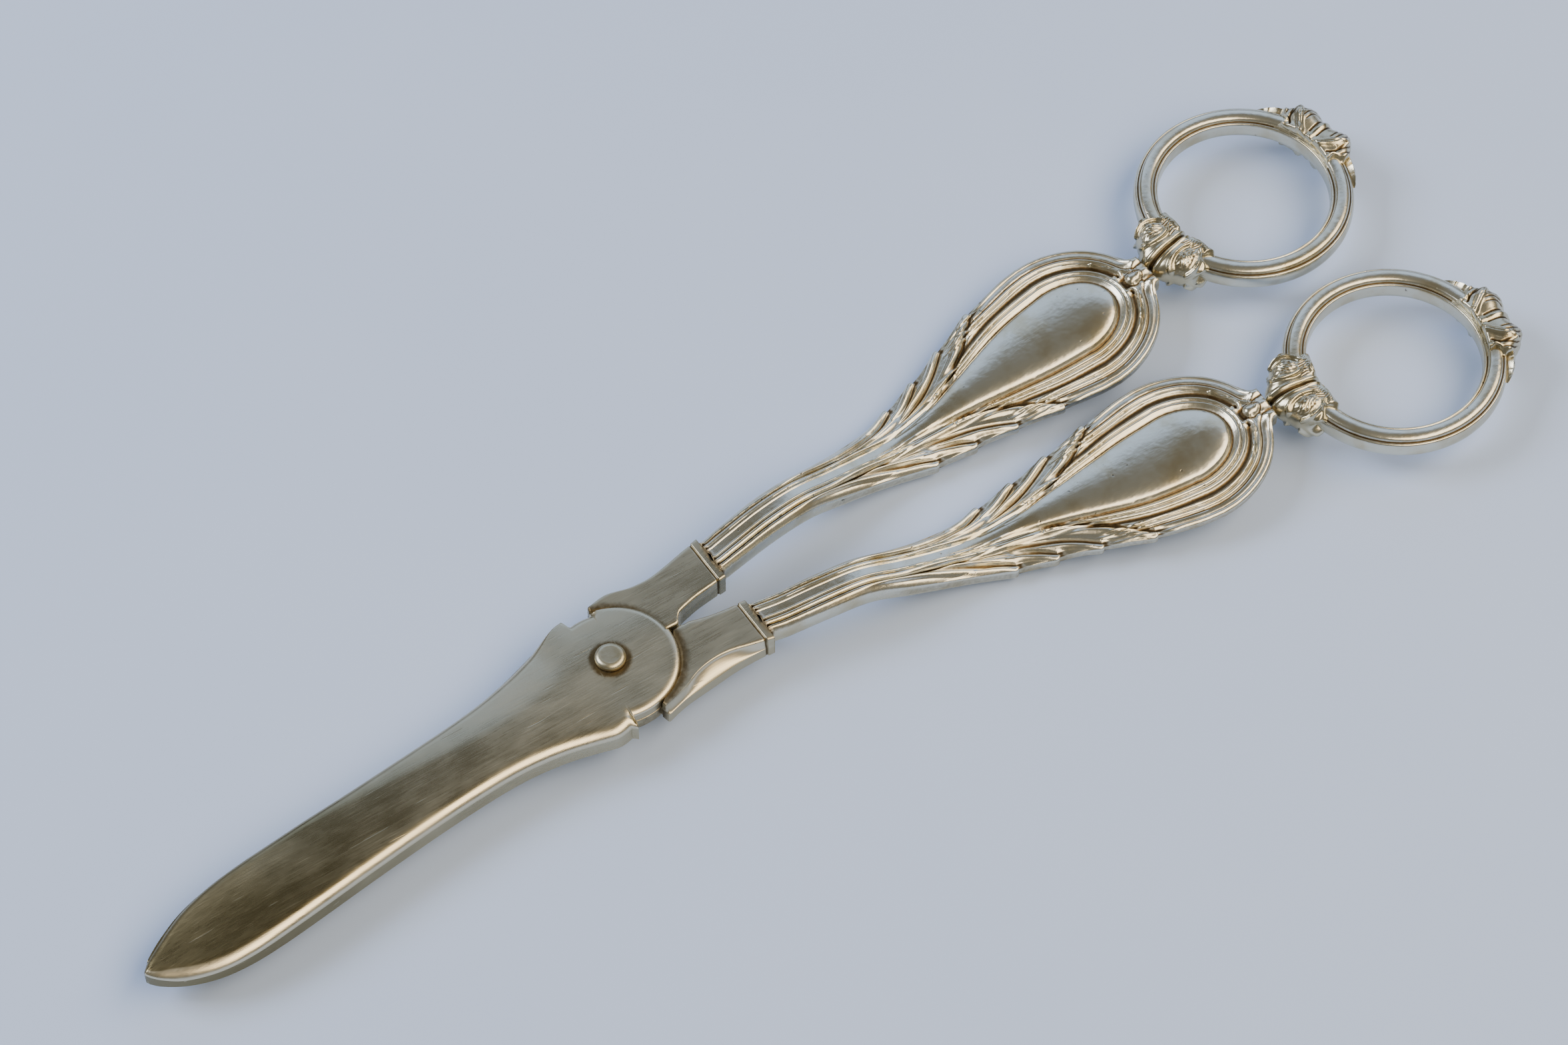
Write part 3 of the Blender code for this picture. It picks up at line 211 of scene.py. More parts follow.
# Bolsters: their outlines in plan from the disc to the end, in millimetres from the pivot
BOLSTER_END = 17.2
BOLSTER_INNER = ((9.30, 0.15), (9.80, 0.575), (11.01, 1.01), (13.07, 1.50), (15.48, 1.81), (17.2, 2.0))
BOLSTER_OUTER = ((4.30, 7.46), (7.05, 6.81), (9.63, 6.68), (12.04, 7.08), (14.62, 7.67), (17.2, 8.2))
LOW_OUTER = ((4.82, 8.94), (7.40, 8.63), (9.63, 8.39), (12.04, 8.14), (14.62, 8.11), (17.2, 8.2))
TOP_OUTER = ((4.82, 8.32), (7.40, 7.33), (9.63, 6.90), (12.04, 6.96), (14.62, 7.58), (17.2, 8.2))
CREASE = 4.715
BOLSTER_ROLL = 0.34
LIP_GROOVE = 16.18
LIP_START = 16.30
EAR_RADIUS = 9.3
EAR_SCOOP = 0.6
UPPER_ROOT = 7.25
FIRST_TURN = 0.03
BOLSTER_STATIONS = 120
JOINT_GAP = 0.3

# The rivet
HEAD_SEAT = UPPER_TOP + 0.1
HEAD_FLAT = 1.15
HEAD_ROUND = 0.65
HEAD_SIDE = 0.30
HEAD_RISE = 0.55
HEAD_UNDER = 1.78
PIN_RADIUS = 1.0
FOOT_FLAT = 1.1
FOOT_ROUND = 0.7
FOOT_DEPTH = 0.6

# The floor card's half side, in metres
FLOOR_HALF = 1.5


def ramp(value, low, high):
    """Rise smoothly from 0 at low to 1 at high: three times the share squared less twice its cube."""
    share = np.clip((value - low) / (high - low), 0, 1)
    return share ** 2 * (3 - 2 * share)


def hump(value, middle, half):
    """A rounded rise of height 1 at middle that ends at half either side: (1 - share squared) squared."""
    return np.clip(1 - ((value - middle) / half) ** 2, 0, None) ** 2


def flowing(points, steps=12):
    """A curve through the points: each span is the cubic that keeps its neighbours' slopes."""
    points = np.asarray(points, dtype=float)
    padded = np.vstack([2 * points[0] - points[1], points, 2 * points[-1] - points[-2]])
    spans = len(points) - 1
    t = np.linspace(0, 1, steps, endpoint=False)
    weights = np.stack([2 * t ** 2 - t - t ** 3, 2 - 5 * t ** 2 + 3 * t ** 3,
                        t + 4 * t ** 2 - 3 * t ** 3, t ** 3 - t ** 2], -1) / 2
    corners = np.stack([padded[k:k + spans] for k in range(4)], 1)
    curve = np.einsum("tk,skd->std", weights, corners).reshape(-1, points.shape[1])
    return np.vstack([curve, points[-1]])


def follow(table, value):
    """The flowing curve through a table of (place, value) pairs, read at a place."""
    curve = flowing(table)
    return np.interp(value, curve[:, 0], curve[:, 1])


def evenly(line, count, tail=0):
    """The same line with its points at even distances, or with half of them in a last stretch, the tail,
    where fine detail lies."""
    length = np.concatenate([[0], np.cumsum(np.linalg.norm(np.diff(line, axis=0), axis=1))])
    places = np.linspace(0, length[-1], count)
    if tail:
        places = np.concatenate([np.linspace(0, length[-1] - tail, count // 2, endpoint=False),
                                 np.linspace(length[-1] - tail, length[-1], count - count // 2)])
    return np.column_stack([np.interp(places, length, line[:, axis]) for axis in range(line.shape[1])])


def distance_to(line, points):
    """Shortest distance from each point in plan to a line, taken segment by segment in arrays."""
    flat = points.reshape(-1, 2)
    start, run = line[:-1], np.diff(line, axis=0)
    square = (run ** 2).sum(1) + 1e-12
    best = []
    for batch in np.array_split(flat, len(flat) // 4000 + 1):
        gap = batch[:, None] - start
        share = np.clip((gap * run).sum(-1) / square, 0, 1)
        best.append(np.sqrt(((gap - share[..., None] * run) ** 2).sum(-1).min(1)))
    return np.concatenate(best).reshape(points.shape[:2])


def round_off(distance, radius):
    """How far a rounded edge has dropped at a distance inside it: a quarter circle."""
    inside = np.clip(1 - distance / radius, 0, 1)
    return radius * (1 - np.sqrt(1 - inside ** 2))


def carve(spots, marks):
    """Rise and hollow that carved marks give at places in a plane, each repeated in its four quarters: a
    mark is a line, its half width, its rise, and how dark it is."""
    rise, hollow = np.zeros(spots.shape[:2]), np.zeros(spots.shape[:2])
    quarter = np.abs(spots)
    for line, half, height, dark in marks:
        near = hump(distance_to(flowing(line, 6), quarter), 0, half)
        rise, hollow = rise + height * near, hollow + dark * near
    return rise, hollow


def grid_faces(rows, columns, wrap_rows, wrap_columns):
    """Four-sided faces between the neighbouring points of a grid."""
    row, column = np.meshgrid(np.arange(rows - (not wrap_rows)),
                              np.arange(columns - (not wrap_columns)), indexing="ij")
    next_row, next_column = (row + 1) % rows, (column + 1) % columns
    return np.stack([row * columns + column, row * columns + next_column,
                     next_row * columns + next_column, next_row * columns + column], -1).reshape(-1, 4)


def tube(loops, hollow):
    """A closed shell from a row of closed loops: each end shuts in the middle of its last loop."""
    first, last = loops[0].mean(0), loops[-1].mean(0)
    shut = [np.broadcast_to(end, loops[:1].shape) for end in (first, last)]
    loops = np.concatenate([shut[0], loops, shut[1]])
    hollow = np.concatenate([hollow[:1], hollow, hollow[-1:]])
    return loops, hollow, False, True


def add_object(name, data):
    """Put a new object with its mesh, light or camera in the scene."""
    item = bpy.data.objects.new(name, data)
    bpy.context.scene.collection.objects.link(item)
    return item


def cast_piece(name, shells, material, body, node):
    """Make one object of shells, weld its seams and poles, and put it in a node's place."""
    vertices, faces, hollows, start = [], [], [], 0
    for points, hollow, wrap_rows, wrap_columns in shells:
        rows, columns = points.shape[:2]
        vertices.append(points.reshape(-1, 3) * MM)
        hollows.append(np.clip(np.broadcast_to(hollow, (rows, columns)), 0, 1).reshape(-1))
        faces.append(grid_faces(rows, columns, wrap_rows, wrap_columns) + start)
        start += rows * columns
    vertices, faces = np.concatenate(vertices), np.concatenate(faces)
    mesh = bpy.data.meshes.new(name)
    mesh.vertices.add(len(vertices))
    mesh.vertices.foreach_set("co", vertices.astype(np.float32).reshape(-1))
    mesh.loops.add(faces.size)
    mesh.loops.foreach_set("vertex_index", faces.astype(np.int32).reshape(-1))
    mesh.polygons.add(len(faces))
    mesh.polygons.foreach_set("loop_start", np.arange(0, faces.size, 4, dtype=np.int32))
    mesh.polygons.foreach_set("loop_total", np.full(len(faces), 4, dtype=np.int32))
    mesh.update(calc_edges=True)
    mesh.attributes.new("hollow", "FLOAT", "POINT").data.foreach_set("value", np.concatenate(hollows))
    weld(mesh)
    mesh.shade_smooth()
    mesh.set_sharp_from_angle(angle=SHARP_ANGLE)
    mesh.materials.append(material)
    piece = add_object(name, mesh)
    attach(piece, body)
    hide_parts(node)


def weld(mesh):
    """Close seams and poles, drop the faces that they leave empty, and turn every shell outwards."""
    work = bmesh.new()
    work.from_mesh(mesh)
    bmesh.ops.remove_doubles(work, verts=work.verts, dist=WELD * MM)
    bmesh.ops.dissolve_degenerate(work, edges=work.edges, dist=WELD * MM)
    loose = [edge for edge in work.edges if not edge.link_faces]
    bmesh.ops.delete(work, geom=loose, context="EDGES")
    bmesh.ops.recalc_face_normals(work, faces=work.faces)
    work.to_mesh(mesh)
    work.free()


# Handles


def handle_line():
    """The handle's centre line, and the x of its widest place."""
    line = flowing(np.array(HANDLE_START) + np.array(HANDLE_LINE) * np.array(HANDLE_RUN))
    return line, line[-1, 0] - NECK_RUN - CAP_LENGTH


def plain_half(share):
    """Half width of the handle without its lobes."""
    return STEM_HALF + (MEDALLION_HALF - STEM_HALF) * follow(WIDENING, share)


def lobe_step(share):
    """How far the lobes stand out: each grows with the square of its run and ends in a rounded hook."""
    out = np.zeros_like(share)
    start = LOBE_START
    for tip in LOBE_TIPS:
        run = (share - start) / (tip - start)
        hook = np.clip((share - tip + LOBE_HOOK) / LOBE_HOOK, 0, 1)
        out = np.where((run > 0) & (run <= 1), run ** 2 * np.sqrt(1 - hook ** 2), out)
        start = tip
    return LOBE_DEPTH * out


def cap_edge(count):
    """One side of the medallion's end: a quarter ellipse that turns out in an ogee to the neck."""
    turn = np.radians((90, 80, 70, 60, 50, 41, 33, 27))
    ellipse = np.column_stack([CAP_LENGTH * np.cos(turn), MEDALLION_HALF * np.sin(turn)])
    end = CAP_LENGTH + CAP_TO_COLLAR
    ogee = ((10.62, 3.70), (10.92, 3.05), (11.22, 2.60), (11.62, 2.30), (end, NECK_HALF))
    side = evenly(flowing(np.vstack([ellipse, ogee])), count)
    return side, np.column_stack([np.full(9, end), np.linspace(NECK_HALF, 0, 10)[1:]])


def handle_plan():
    """Columns of the handle in plan: foot on the centre line, edge, place along, and the plain outline."""
    line, widest = handle_line()
    hooks = np.array(LOBE_TIPS)[:, None] - LOBE_HOOK * np.array(HOOK_PLACES)
    share = np.unique(np.concatenate([np.linspace(0, 1, HANDLE_STATIONS), hooks.reshape(-1)]))
    x = line[0, 0] + share * (widest - line[0, 0])
    centre = np.column_stack([x, np.interp(x, line[:, 0], line[:, 1])])
    slope = np.gradient(centre[:, 1], centre[:, 0]) * ramp(x, x[0], x[0] + 3)
    across = np.column_stack([-slope, np.ones(len(slope))]) / np.hypot(1, slope)[:, None]
    # the stem starts on the bolster's end
    centre[0, 0] -= JOINT_GAP
    forward = np.array((across[-1, 1], -across[-1, 0]))
    axes = np.array((forward, across[-1]))

    def round_trip(half, end):
        """Out along one side at a half width, round an end given from the widest point, and back."""
        return np.vstack([centre + across * half[:, None], centre[-1] + end @ axes,
                          (centre - across * half[:, None])[::-1]])

    side, face = cap_edge(CAP_STATIONS)
    one = np.vstack([side[1:], face])
    cap = np.vstack([one, one[-2::-1] * (1, -1)])
    plain = plain_half(share)
    # the outline for distances runs on beyond the neck, so that the threads run into it
    past = np.vstack([side[1:], (CAP_LENGTH + 6, NECK_HALF)])
    boss = follow(BOSS_HALF, x)
    turn = np.linspace(math.pi / 2, -math.pi / 2, 120)[1:-1]
    return {"foot": np.vstack([centre, np.repeat(centre[-1:], len(cap), 0), centre[::-1]]),
            "edge": round_trip(plain + lobe_step(share), cap),
            "outline": round_trip(plain, np.vstack([past, past[::-1] * (1, -1)])),
            "boss": round_trip(boss, np.column_stack([BOSS_END * np.cos(turn), boss[-1] * np.sin(turn)])),
            "straight": len(x), "cap": len(cap), "middle": centre[-1], "forward": forward,
            "across": across[-1], "line": line}


def handle_places(rows, plan):
    """Where each point of a handle's grid lies: place in plan, station along, distance from the centre
    line, signed distances outside the boss and inside the plain outline, and place from the widest point."""
    foot, edge = plan["foot"], plan["edge"]
    place = foot[:, None] + rows[None, :, None] * (edge - foot)[:, None]
    gap = place - plan["middle"]
    along, aside = gap @ plan["forward"], gap @ plan["across"]
    in_cap = np.zeros(place.shape[:2], bool)
    in_cap[plan["straight"]:plan["straight"] + plan["cap"]] = True
    station = np.where(in_cap, plan["middle"][0] + along, foot[:, None, 0])
    off = np.where(in_cap, np.abs(aside), rows[None] * np.linalg.norm(edge - foot, axis=1)[:, None])
    boss_half = follow(BOSS_HALF, np.minimum(station, plan["middle"][0]))
    inside = np.where(in_cap, np.hypot(along / BOSS_END, aside / BOSS_HALF[-1][1]), off / boss_half) < 1
    inner = distance_to(plan["boss"], place) * np.where(inside, -1, 1)
    start, widest = plan["line"][0, 0], plan["middle"][0]
    outside = ~in_cap & (off > plain_half((station - start) / (widest - start)))
    outer = distance_to(plan["outline"], place) * np.where(outside, -1, 1)
    level = np.interp(station, plan["line"][:, 0], plan["line"][:, 2])
    return {"place": place, "station": station, "off": off, "inner": inner, "outer": outer,
            "boss_half": boss_half, "along": np.where(in_cap, along, -1.0), "side": np.abs(aside),
            "level": level}


def handle_relief(rows, plan):
    """Height of the relief over the handle's middle, and its hollows: a crowned stem and a domed boss,
    with humps for the reeds, threads, lobe crests and scrolls, and dips for the grooves beside them."""
    here = handle_places(rows, plan)
    station, off, inner, outer = here["station"], here["off"], here["inner"], here["outer"]
    full = ramp(station, 10, 40)
    span = np.maximum(inner + outer, 0.4)
    stem = STEM_CROWN - STEM_FALL * np.clip(off / STEM_HALF, 0, 1.3) ** 2
    border = BORDER_HEIGHT - BORDER_FALL * np.clip(inner / span, 0, 1)
    skirt = stem * (1 - full) + border * full
    swell = np.clip(-inner / here["boss_half"], 0, 1)
    dome = BOSS_FOOT + BOSS_DOME * np.sqrt(swell * (2 - swell))
    boss = FLUTE_HEIGHT * (1 - full) + dome * full
    off_boss = ramp(inner, 0, 0.15 + 0.3 * full)
    height = boss + (skirt - boss) * off_boss
    hollow = 0.10 * full * off_boss
    early, threads = 1 - ramp(station, 12, 24), ramp(station, 23, 31)
    reed_fades = (1 - ramp(station, 20, 27), early, early, early, 1 - ramp(station, 4, 14))
    from_boss = inner / (0.55 + 0.45 * ramp(station, 24, 45))
    from_edge = outer / (0.62 + 0.38 * ramp(station, 31, 43))
    late = ramp(station, 31, 36) * np.where(here["along"] > 9.5, ramp(here["side"], 0.5, 1.1), 1)
    inward = late * (1 - ramp(here["along"], 7.4, 8.2))
    for where, marks, fades in ((off, REEDS, reed_fades), (from_boss, INNER_THREADS, [threads] * 5),
                                (from_edge, OUTER_THREADS, [inward] * 2 + [late] * 4)):
        for (middle, half, rise, dark), fade in zip(marks, fades):
            shape = hump(where, middle, half) * fade
            height, hollow = height + rise * shape, hollow + dark * shape
    height, hollow = lobe_relief(height, hollow, station, outer)
    height, hollow = neck_relief(height, hollow, here["along"], here["side"])
    wall = WALL_HEIGHT - 0.30 * full + 0.55 * ramp(here["along"], 10.2, 11.8)
    edge_gap = (1 - rows)[None] * np.linalg.norm(plan["edge"] - plan["foot"], axis=1)[:, None]
    height = np.maximum(height, wall + 0.02)
    height = wall + (height - wall) * np.sqrt(1 - np.clip(1 - edge_gap / EDGE_ROLL, 0, 1) ** 2)
    rolled, at_bolster = 1 - ramp(edge_gap, 0, 0.5 * EDGE_ROLL), 1 - ramp(station, -8.8, -8.1)
    return here["place"], here["level"], height, hollow + 0.25 * rolled + 0.7 * at_bolster


def lobe_relief(height, hollow, station, outer):
    """Leaf lobes: a crest that swings out to its tip, a groove that deepens behind it, and a dip in the
    edge where the next lobe comes out from under the tip."""
    for crest in LOBE_CRESTS:
        root, tip = crest[0][0], crest[-1][0]
        here = ramp(station, root, root + 6) * (1 - 0.7 * ramp(station, tip - 2.0, tip)
                                                - 0.3 * ramp(station, tip - 0.1, tip + 0.4))
        middle = follow(crest, station)
        wider = 0.10 if crest is LOBE_CRESTS[-1] else 0
        half = 0.30 + 0.28 * ramp(station, root + 4, tip - 5) + wider
        rise = hump(outer, middle, half) * here
        behind = ramp(station, tip - 14, tip - 7) * (1 - ramp(station, tip - 0.6, tip + 1.4))
        groove = hump(outer, middle + 1.28 * half, 0.62 * half) * behind
        after = station - tip
        dip = (ramp(after, -0.02, 0.08 + 1.1 * np.clip(outer, 0, 1)) * (1 - ramp(after, 0.4, 3.4))
               * (1 - ramp(outer, 0.1, 1.4)))
        height = height + 0.30 * rise - 0.30 * groove - 0.26 * dip
        # painted shadow: the dip just after each tip is painted dark, as the shade that the tip casts over
        # the next lobe
        hollow = hollow - 0.5 * rise + 0.95 * groove + 0.7 * dip * (1 - ramp(after, 0, 1.2))
    return height, hollow


def neck_relief(height, hollow, along, side):
    """The ring end of the relief: a scroll on each side of the cusp's bead, and a ribbed knob on the
    neck."""
    neck = ramp(along, 9.9, 11.4) * (1 - ramp(side, 2.2, 3.6))
    height = height + (NECK_HEIGHT - height) * neck * 0.75
    rise, dark = carve(np.stack([along, side], -1), NECK_MARKS)
    away = np.hypot((along - 9.85) / 1.05, side / 0.80)
    bead = np.sqrt(np.clip(1 - away ** 2, 0, 1))
    return height + rise + 0.62 * bead, hollow + dark - 0.5 * bead + 0.9 * hump(away, 1.2, 0.28)


def handle_shells():
    """The +Y handle: one sheet from the centre line over the top, down the edge and back underneath, its
    end faces, and the tang inside the bolster."""
    plan = handle_plan()
    dense = 0.42
    top_rows = np.concatenate([np.linspace(0, dense, 22), np.linspace(dense, 1, 67)[1:]])
    low_rows = np.concatenate([np.linspace(0, dense, 13), np.linspace(dense, 1, 37)[1:]])[::-1]
    place, level, height, hollow = handle_relief(top_rows, plan)
    low_place, low_level, low_height, low_hollow = handle_relief(low_rows, plan)
    top = np.dstack([place, level + height])
    low = np.dstack([low_place, np.maximum(low_level - low_height, 0)])
    out = plan["edge"] - plan["foot"]
    out = out / np.linalg.norm(out, axis=1)[:, None]
    bulge = WALL_BULGE * np.sin(np.linspace(0, math.pi, 6)[1:-1])[None, :, None] * out[:, None]
    side_z = top[:, -1:, 2] + (low[:, :1, 2] - top[:, -1:, 2]) * np.linspace(0, 1, 6)[None, 1:-1]
    edge = np.dstack([plan["edge"][:, None] + bulge, side_z])
    sheet = np.concatenate([top, edge, low], 1)
    brown = 0.12 + 0.40 * ramp(plan["foot"][:, :1], 2, 9) + np.zeros(edge.shape[:2])
    shade = np.concatenate([hollow, brown, low_hollow], 1)
    fan = np.linspace(0, 1, 4)[:, None, None]
    ends = [(sheet[k][None] * (1 - fan) + sheet[k].mean(0) * fan, 0.9, False, False) for k in (0, -1)]
    return [(sheet, shade, False, False)] + ends + [tang_shell()]


def tang_shell():
    """The flat tang between the stem and the inside of the bolster: a rectangle with rounded corners."""
    x = np.linspace(*TANG_RUN, 6)
    turn = np.linspace(0, 2 * math.pi, 33)[:-1]
    y, z = [middle + half * np.sign(out) * np.abs(out) ** 0.35 for middle, half, out in
            zip(HANDLE_START[1:], TANG_HALF, (np.cos(turn), np.sin(turn)))]
    loops = np.stack(np.broadcast_arrays(x[:, None], y[None], z[None]), -1)
    return tube(loops, np.full(loops.shape[:2], 0.9))


def on_side(shells, side):
    """The same shells on the +Y side, or mirrored in the middle line for the -Y side."""
    return [(points * (1, side, 1), hollow, rows, columns) for points, hollow, rows, columns in shells]


# Rings


def on_ring(shells):
    """Shells moved from a ring's own frame, with its crest on +X, to the +Y ring's place."""
    cosine, sine = math.cos(RING_TURN), math.sin(RING_TURN)
    moved = []
    for points, hollow, wrap_rows, wrap_columns in shells:
        x = points[..., 0] * cosine - points[..., 1] * sine + RING_CENTRE[0]
        y = points[..., 0] * sine + points[..., 1] * cosine + RING_CENTRE[1]
        moved.append((np.stack([x, y, points[..., 2]], -1), hollow, wrap_rows, wrap_columns))
    return moved


def turned_shell(profile, hollow, steps):
    """A profile of (radius, height) points turned round the Z axis."""
    turn = np.linspace(0, 2 * math.pi, steps, endpoint=False)[:, None]
    points = np.stack([profile[:, 0] * np.cos(turn), profile[:, 0] * np.sin(turn),
                       np.broadcast_to(profile[:, 1], (steps, len(profile)))], -1)
    return points, np.broadcast_to(hollow, points.shape[:2])


def hoop_shells():
    """The finger ring: a flat-topped band between two grooves, with a tall smooth bore, turned."""
    half = flowing(HOOP_SECTION, 5)
    upper = np.column_stack([HOLE_RADIUS + HOOP_WIDTH * half[:, 0], RING_LEVEL + HOOP_HALF * half[:, 1]])
    lower = upper[-2:0:-1] * (1, -1) + (0, 2 * RING_LEVEL)
    profile = np.vstack([upper, lower])
    dark = 0.9 * (hump(half[:, 0], 0.165, 0.05) + hump(half[:, 0], 0.825, 0.05))
    dark = dark + 0.12 * (half[:, 0] > 0.85) + 0.15 * (half[:, 0] < 0.1)
    points, hollow = turned_shell(profile, np.concatenate([dark, dark[-2:0:-1]]), 220)
    return on_ring([(points, hollow, True, True)])


def clasp_radius(turn, grow):
    """Distance from the hoop's middle line to a rounded square round its section."""
    wide, high = HOOP_WIDTH / 2 + grow, HOOP_HALF + grow
    return (np.abs(np.cos(turn) / wide) ** 3.4 + np.abs(np.sin(turn) / high) ** 3.4) ** (-1 / 3.4)


def on_hoop(angle, turn, lift):
    """A point round the hoop: angle round the ring, turn round its section, lift off its surface."""
    out = clasp_radius(turn, 0.08) + lift
    radius = HOLE_RADIUS + HOOP_WIDTH / 2 + out * np.cos(turn)
    return np.stack([radius * np.cos(angle), radius * np.sin(angle), RING_LEVEL + out * np.sin(turn)], -1)


def side_leaf(hand):
    """A leaf down one side of the rim: a toothed outline that narrows to a point, an arched back with a
    sunk midrib and slanting veins, curled rims, and sides that go down into the hoop."""
    course = flowing(np.radians(SIDE_LEAF) * (hand, 1), 8)
    share, across = np.linspace(0, 1, len(course)), np.linspace(-1, 1, 15)
    flat = course * LEAF_RADII
    run = np.gradient(flat, axis=0)
    run = run / np.linalg.norm(run, axis=1)[:, None]
    shape = np.sin(math.pi * share ** 0.62) ** 0.75
    shape = shape * (1 - 0.20 * ((share * 5) % 1.0) ** 2 * (share < 0.9)) + 0.02
    reach = SIDE_LEAF_HALF * shape[:, None] * across
    angle = (flat[:, :1] - reach * run[:, 1:]) / LEAF_RADII[0]
    turn = (flat[:, 1:] + reach * run[:, :1]) / LEAF_RADII[1]
    rise = 0.78 - 0.44 * share - 0.22 * share ** 4
    body = rise[:, None] + 0.24 * (1 - across ** 2) * shape[:, None]
    veins = 0.06 * np.sin(2 * math.pi * (share[:, None] * 5 - 1.1 * np.abs(across)))
    rib = hump(across, 0, 0.16)
    lift = body + veins * (1 - rib) * (1 - np.abs(across) ** 4) - 0.16 * rib + 0.08 * np.abs(across) ** 6
    dark = 0.45 + 0.9 * rib - 4.0 * veins - 0.7 * np.abs(across) ** 5 - 0.25 * ramp(lift, 0.6, 1.4)
    top = on_hoop(angle, turn, lift)
    low = on_hoop(angle[:, ::-1], turn[:, ::-1], np.full(lift.shape, -0.35))[:, 1:-1]
    return tube(np.concatenate([top, low], 1), np.concatenate([dark, 0.9 + 0 * dark[:, 1:-1]], 1))


def skin(reach, wave):
    """A grid on the hoop whose ends, in degrees round the ring, wave four times round the section: how far
    each point lies from middle to end, its angle and turn, and its place along and round in
    millimetres."""
    share = np.linspace(-1, 1, 151)[:, None]
    turn = np.linspace(-math.pi, math.pi, 128, endpoint=False)[None]
    angle = share * np.radians(reach - wave * np.cos(4 * turn))
    run, turn = np.abs(share) + 0 * turn, turn + 0 * share
    return run, angle, turn, np.stack([angle, turn], -1) * SKIN_RADII


def curl(middle, radius, start, end):
    """A part of a circle, from one angle to another in degrees."""
    turn = np.radians(np.linspace(start, end, 7))
    return np.column_stack([middle[0] + radius * np.cos(turn), middle[1] + radius * np.sin(turn)])


def collar_shells():
    """The leaf collar: two plump cuffs that meet in a divider line and swell out to the neck, each carved
    with a pitted bud between two curled petals, a leaf along its top and fine cuts beside it."""
    run, angle, turn, spots = skin(22.4, 2.2)
    outward, swell = np.clip(np.cos(turn), 0, 1), follow(COLLAR_SWELL, run)
    sheath = 0.38 * ramp(1 - run, 0, 0.10) - 0.35 * (1 - ramp(1 - run, 0, 0.06)) + 0.28 * hump(run, 0.5, 0.5)
    slim = 1 - 0.42 * (1 - run) ** 3 * np.abs(np.sin(turn)) * outward ** 0.5
    petals = [(curl(BUD, 1.45, *ends), 0.30, 0.42, -0.8) for ends in ((115, 238), (-60, 62))]
    cuts = [(((1.0 + 0.36 * k, 2.75), (1.3 + 0.40 * k, 3.45)), 0.11, -0.10, 0.8) for k in range(6)]
    rise, hollow = carve(spots, [*COLLAR_MARKS, *petals, *cuts])
    across, up = np.abs(spots[..., 0]) - BUD[0], np.abs(spots[..., 1]) - BUD[1]
    pits = np.sin(9 * across + 4 * np.sin(3 * up)) * np.sin(8 * up + 3 * np.sin(4 * across))
    pits = pits * hump(np.hypot(across, up), 0, 1.35)
    lift = (sheath + swell * outward ** 3.2) * slim + rise * ramp(1 - run, 0.0, 0.12) + 0.13 * pits
    dark = 0.24 + hollow - 0.8 * pits - 0.3 * hump(run, 0.93, 0.07)
    return on_ring([tube(on_hoop(math.pi + angle, turn, lift), dark)])


def crest_shells():
    """The leafy crest: a plump sheath over the top and outside of the hoop, carved with veined leaves, a
    spear-shaped leaf across the groove and lumps at its ends, and a long leaf down each side of the rim."""
    run, angle, turn, spots = skin(22.5, 1.8)
    outward, swell = np.clip(np.cos(turn), 0, 1), follow(CREST_SWELL, run)
    cover = ramp(np.cos(turn), -0.62, -0.25)
    sheath = 0.34 * ramp(1 - run, 0, 0.12) - 0.4 * (1 - ramp(1 - run, 0, 0.08)) + 0.22 * hump(run, 0.45, 0.5)
    veins = [(((1.2 + 0.55 * k, 0.5), (1.7 + 0.55 * k, 1.1), (1.95 + 0.52 * k, 1.9)), 0.15, -0.09, 0.55)
             for k in range(6)]
    rise, hollow = carve(spots, [*CREST_MARKS, *veins])
    lift = (sheath + 0.4) * cover - 0.4 + swell * outward ** 1.7 + rise * cover * ramp(1 - run, 0.0, 0.12)
    return on_ring([tube(on_hoop(angle, turn, lift), 0.38 + hollow), side_leaf(-1), side_leaf(1)])


# Joint and blades


def polar(radius, angle):
    """A point in plan at a radius and an angle round the pivot."""
    return np.array((radius * math.cos(angle), radius * math.sin(angle)))


def arc(radius, start, end, count):
    """Points in plan along an arc round the pivot."""
    turn = np.linspace(start, end, count)
    return np.column_stack([radius * np.cos(turn), radius * np.sin(turn)])


def blade_edges():
    """The blade's back and cutting edges from the tip to the joint, in plan from the pivot."""
    shift = np.array((0, -PIVOT[1]))
    back, cutting = flowing(BACK_EDGE) + shift, flowing(CUTTING_EDGE) + shift
    back[:, 1] -= shift[1] * hump(back[:, 0], BACK_EDGE[0][0], 0.5)
    return back[::-1], cutting[::-1]


def nosed(edge, side):
    """An edge that starts in the small round nose of the tip."""
    turn = np.radians(np.arange(0, 41, 5))[:, None]
    nose = NOSE + NOSE_RADIUS * np.hstack([-np.cos(turn), side * np.sin(turn)])
    return np.vstack([nose, edge[edge[:, 0] > nose[-1, 0] + 0.02]])


def beside(line, distance):
    """A line moved sideways to the left of its direction."""
    run = np.gradient(line, axis=0)
    run = run / (np.linalg.norm(run, axis=1)[:, None] + 1e-9)
    return line + distance * np.column_stack([-run[:, 1], run[:, 0]])


def round_pivot(x, y, z, hollow):
    """A closed shell from loops whose places in plan are given from the pivot."""
    return tube(np.stack([x + PIVOT[0], y + PIVOT[1], z], -1), hollow)


def stations_along(low, high, corners, count):
    """Places along X, closer together at both ends, with every corner of the outline among them."""
    share = (1 - np.cos(np.linspace(0, math.pi, 60))) / 2
    ends = np.concatenate([low + 6 * share[:30], high - 4 * share[:30]])
    return np.unique(np.concatenate([np.linspace(low, high, count), ends, corners]))


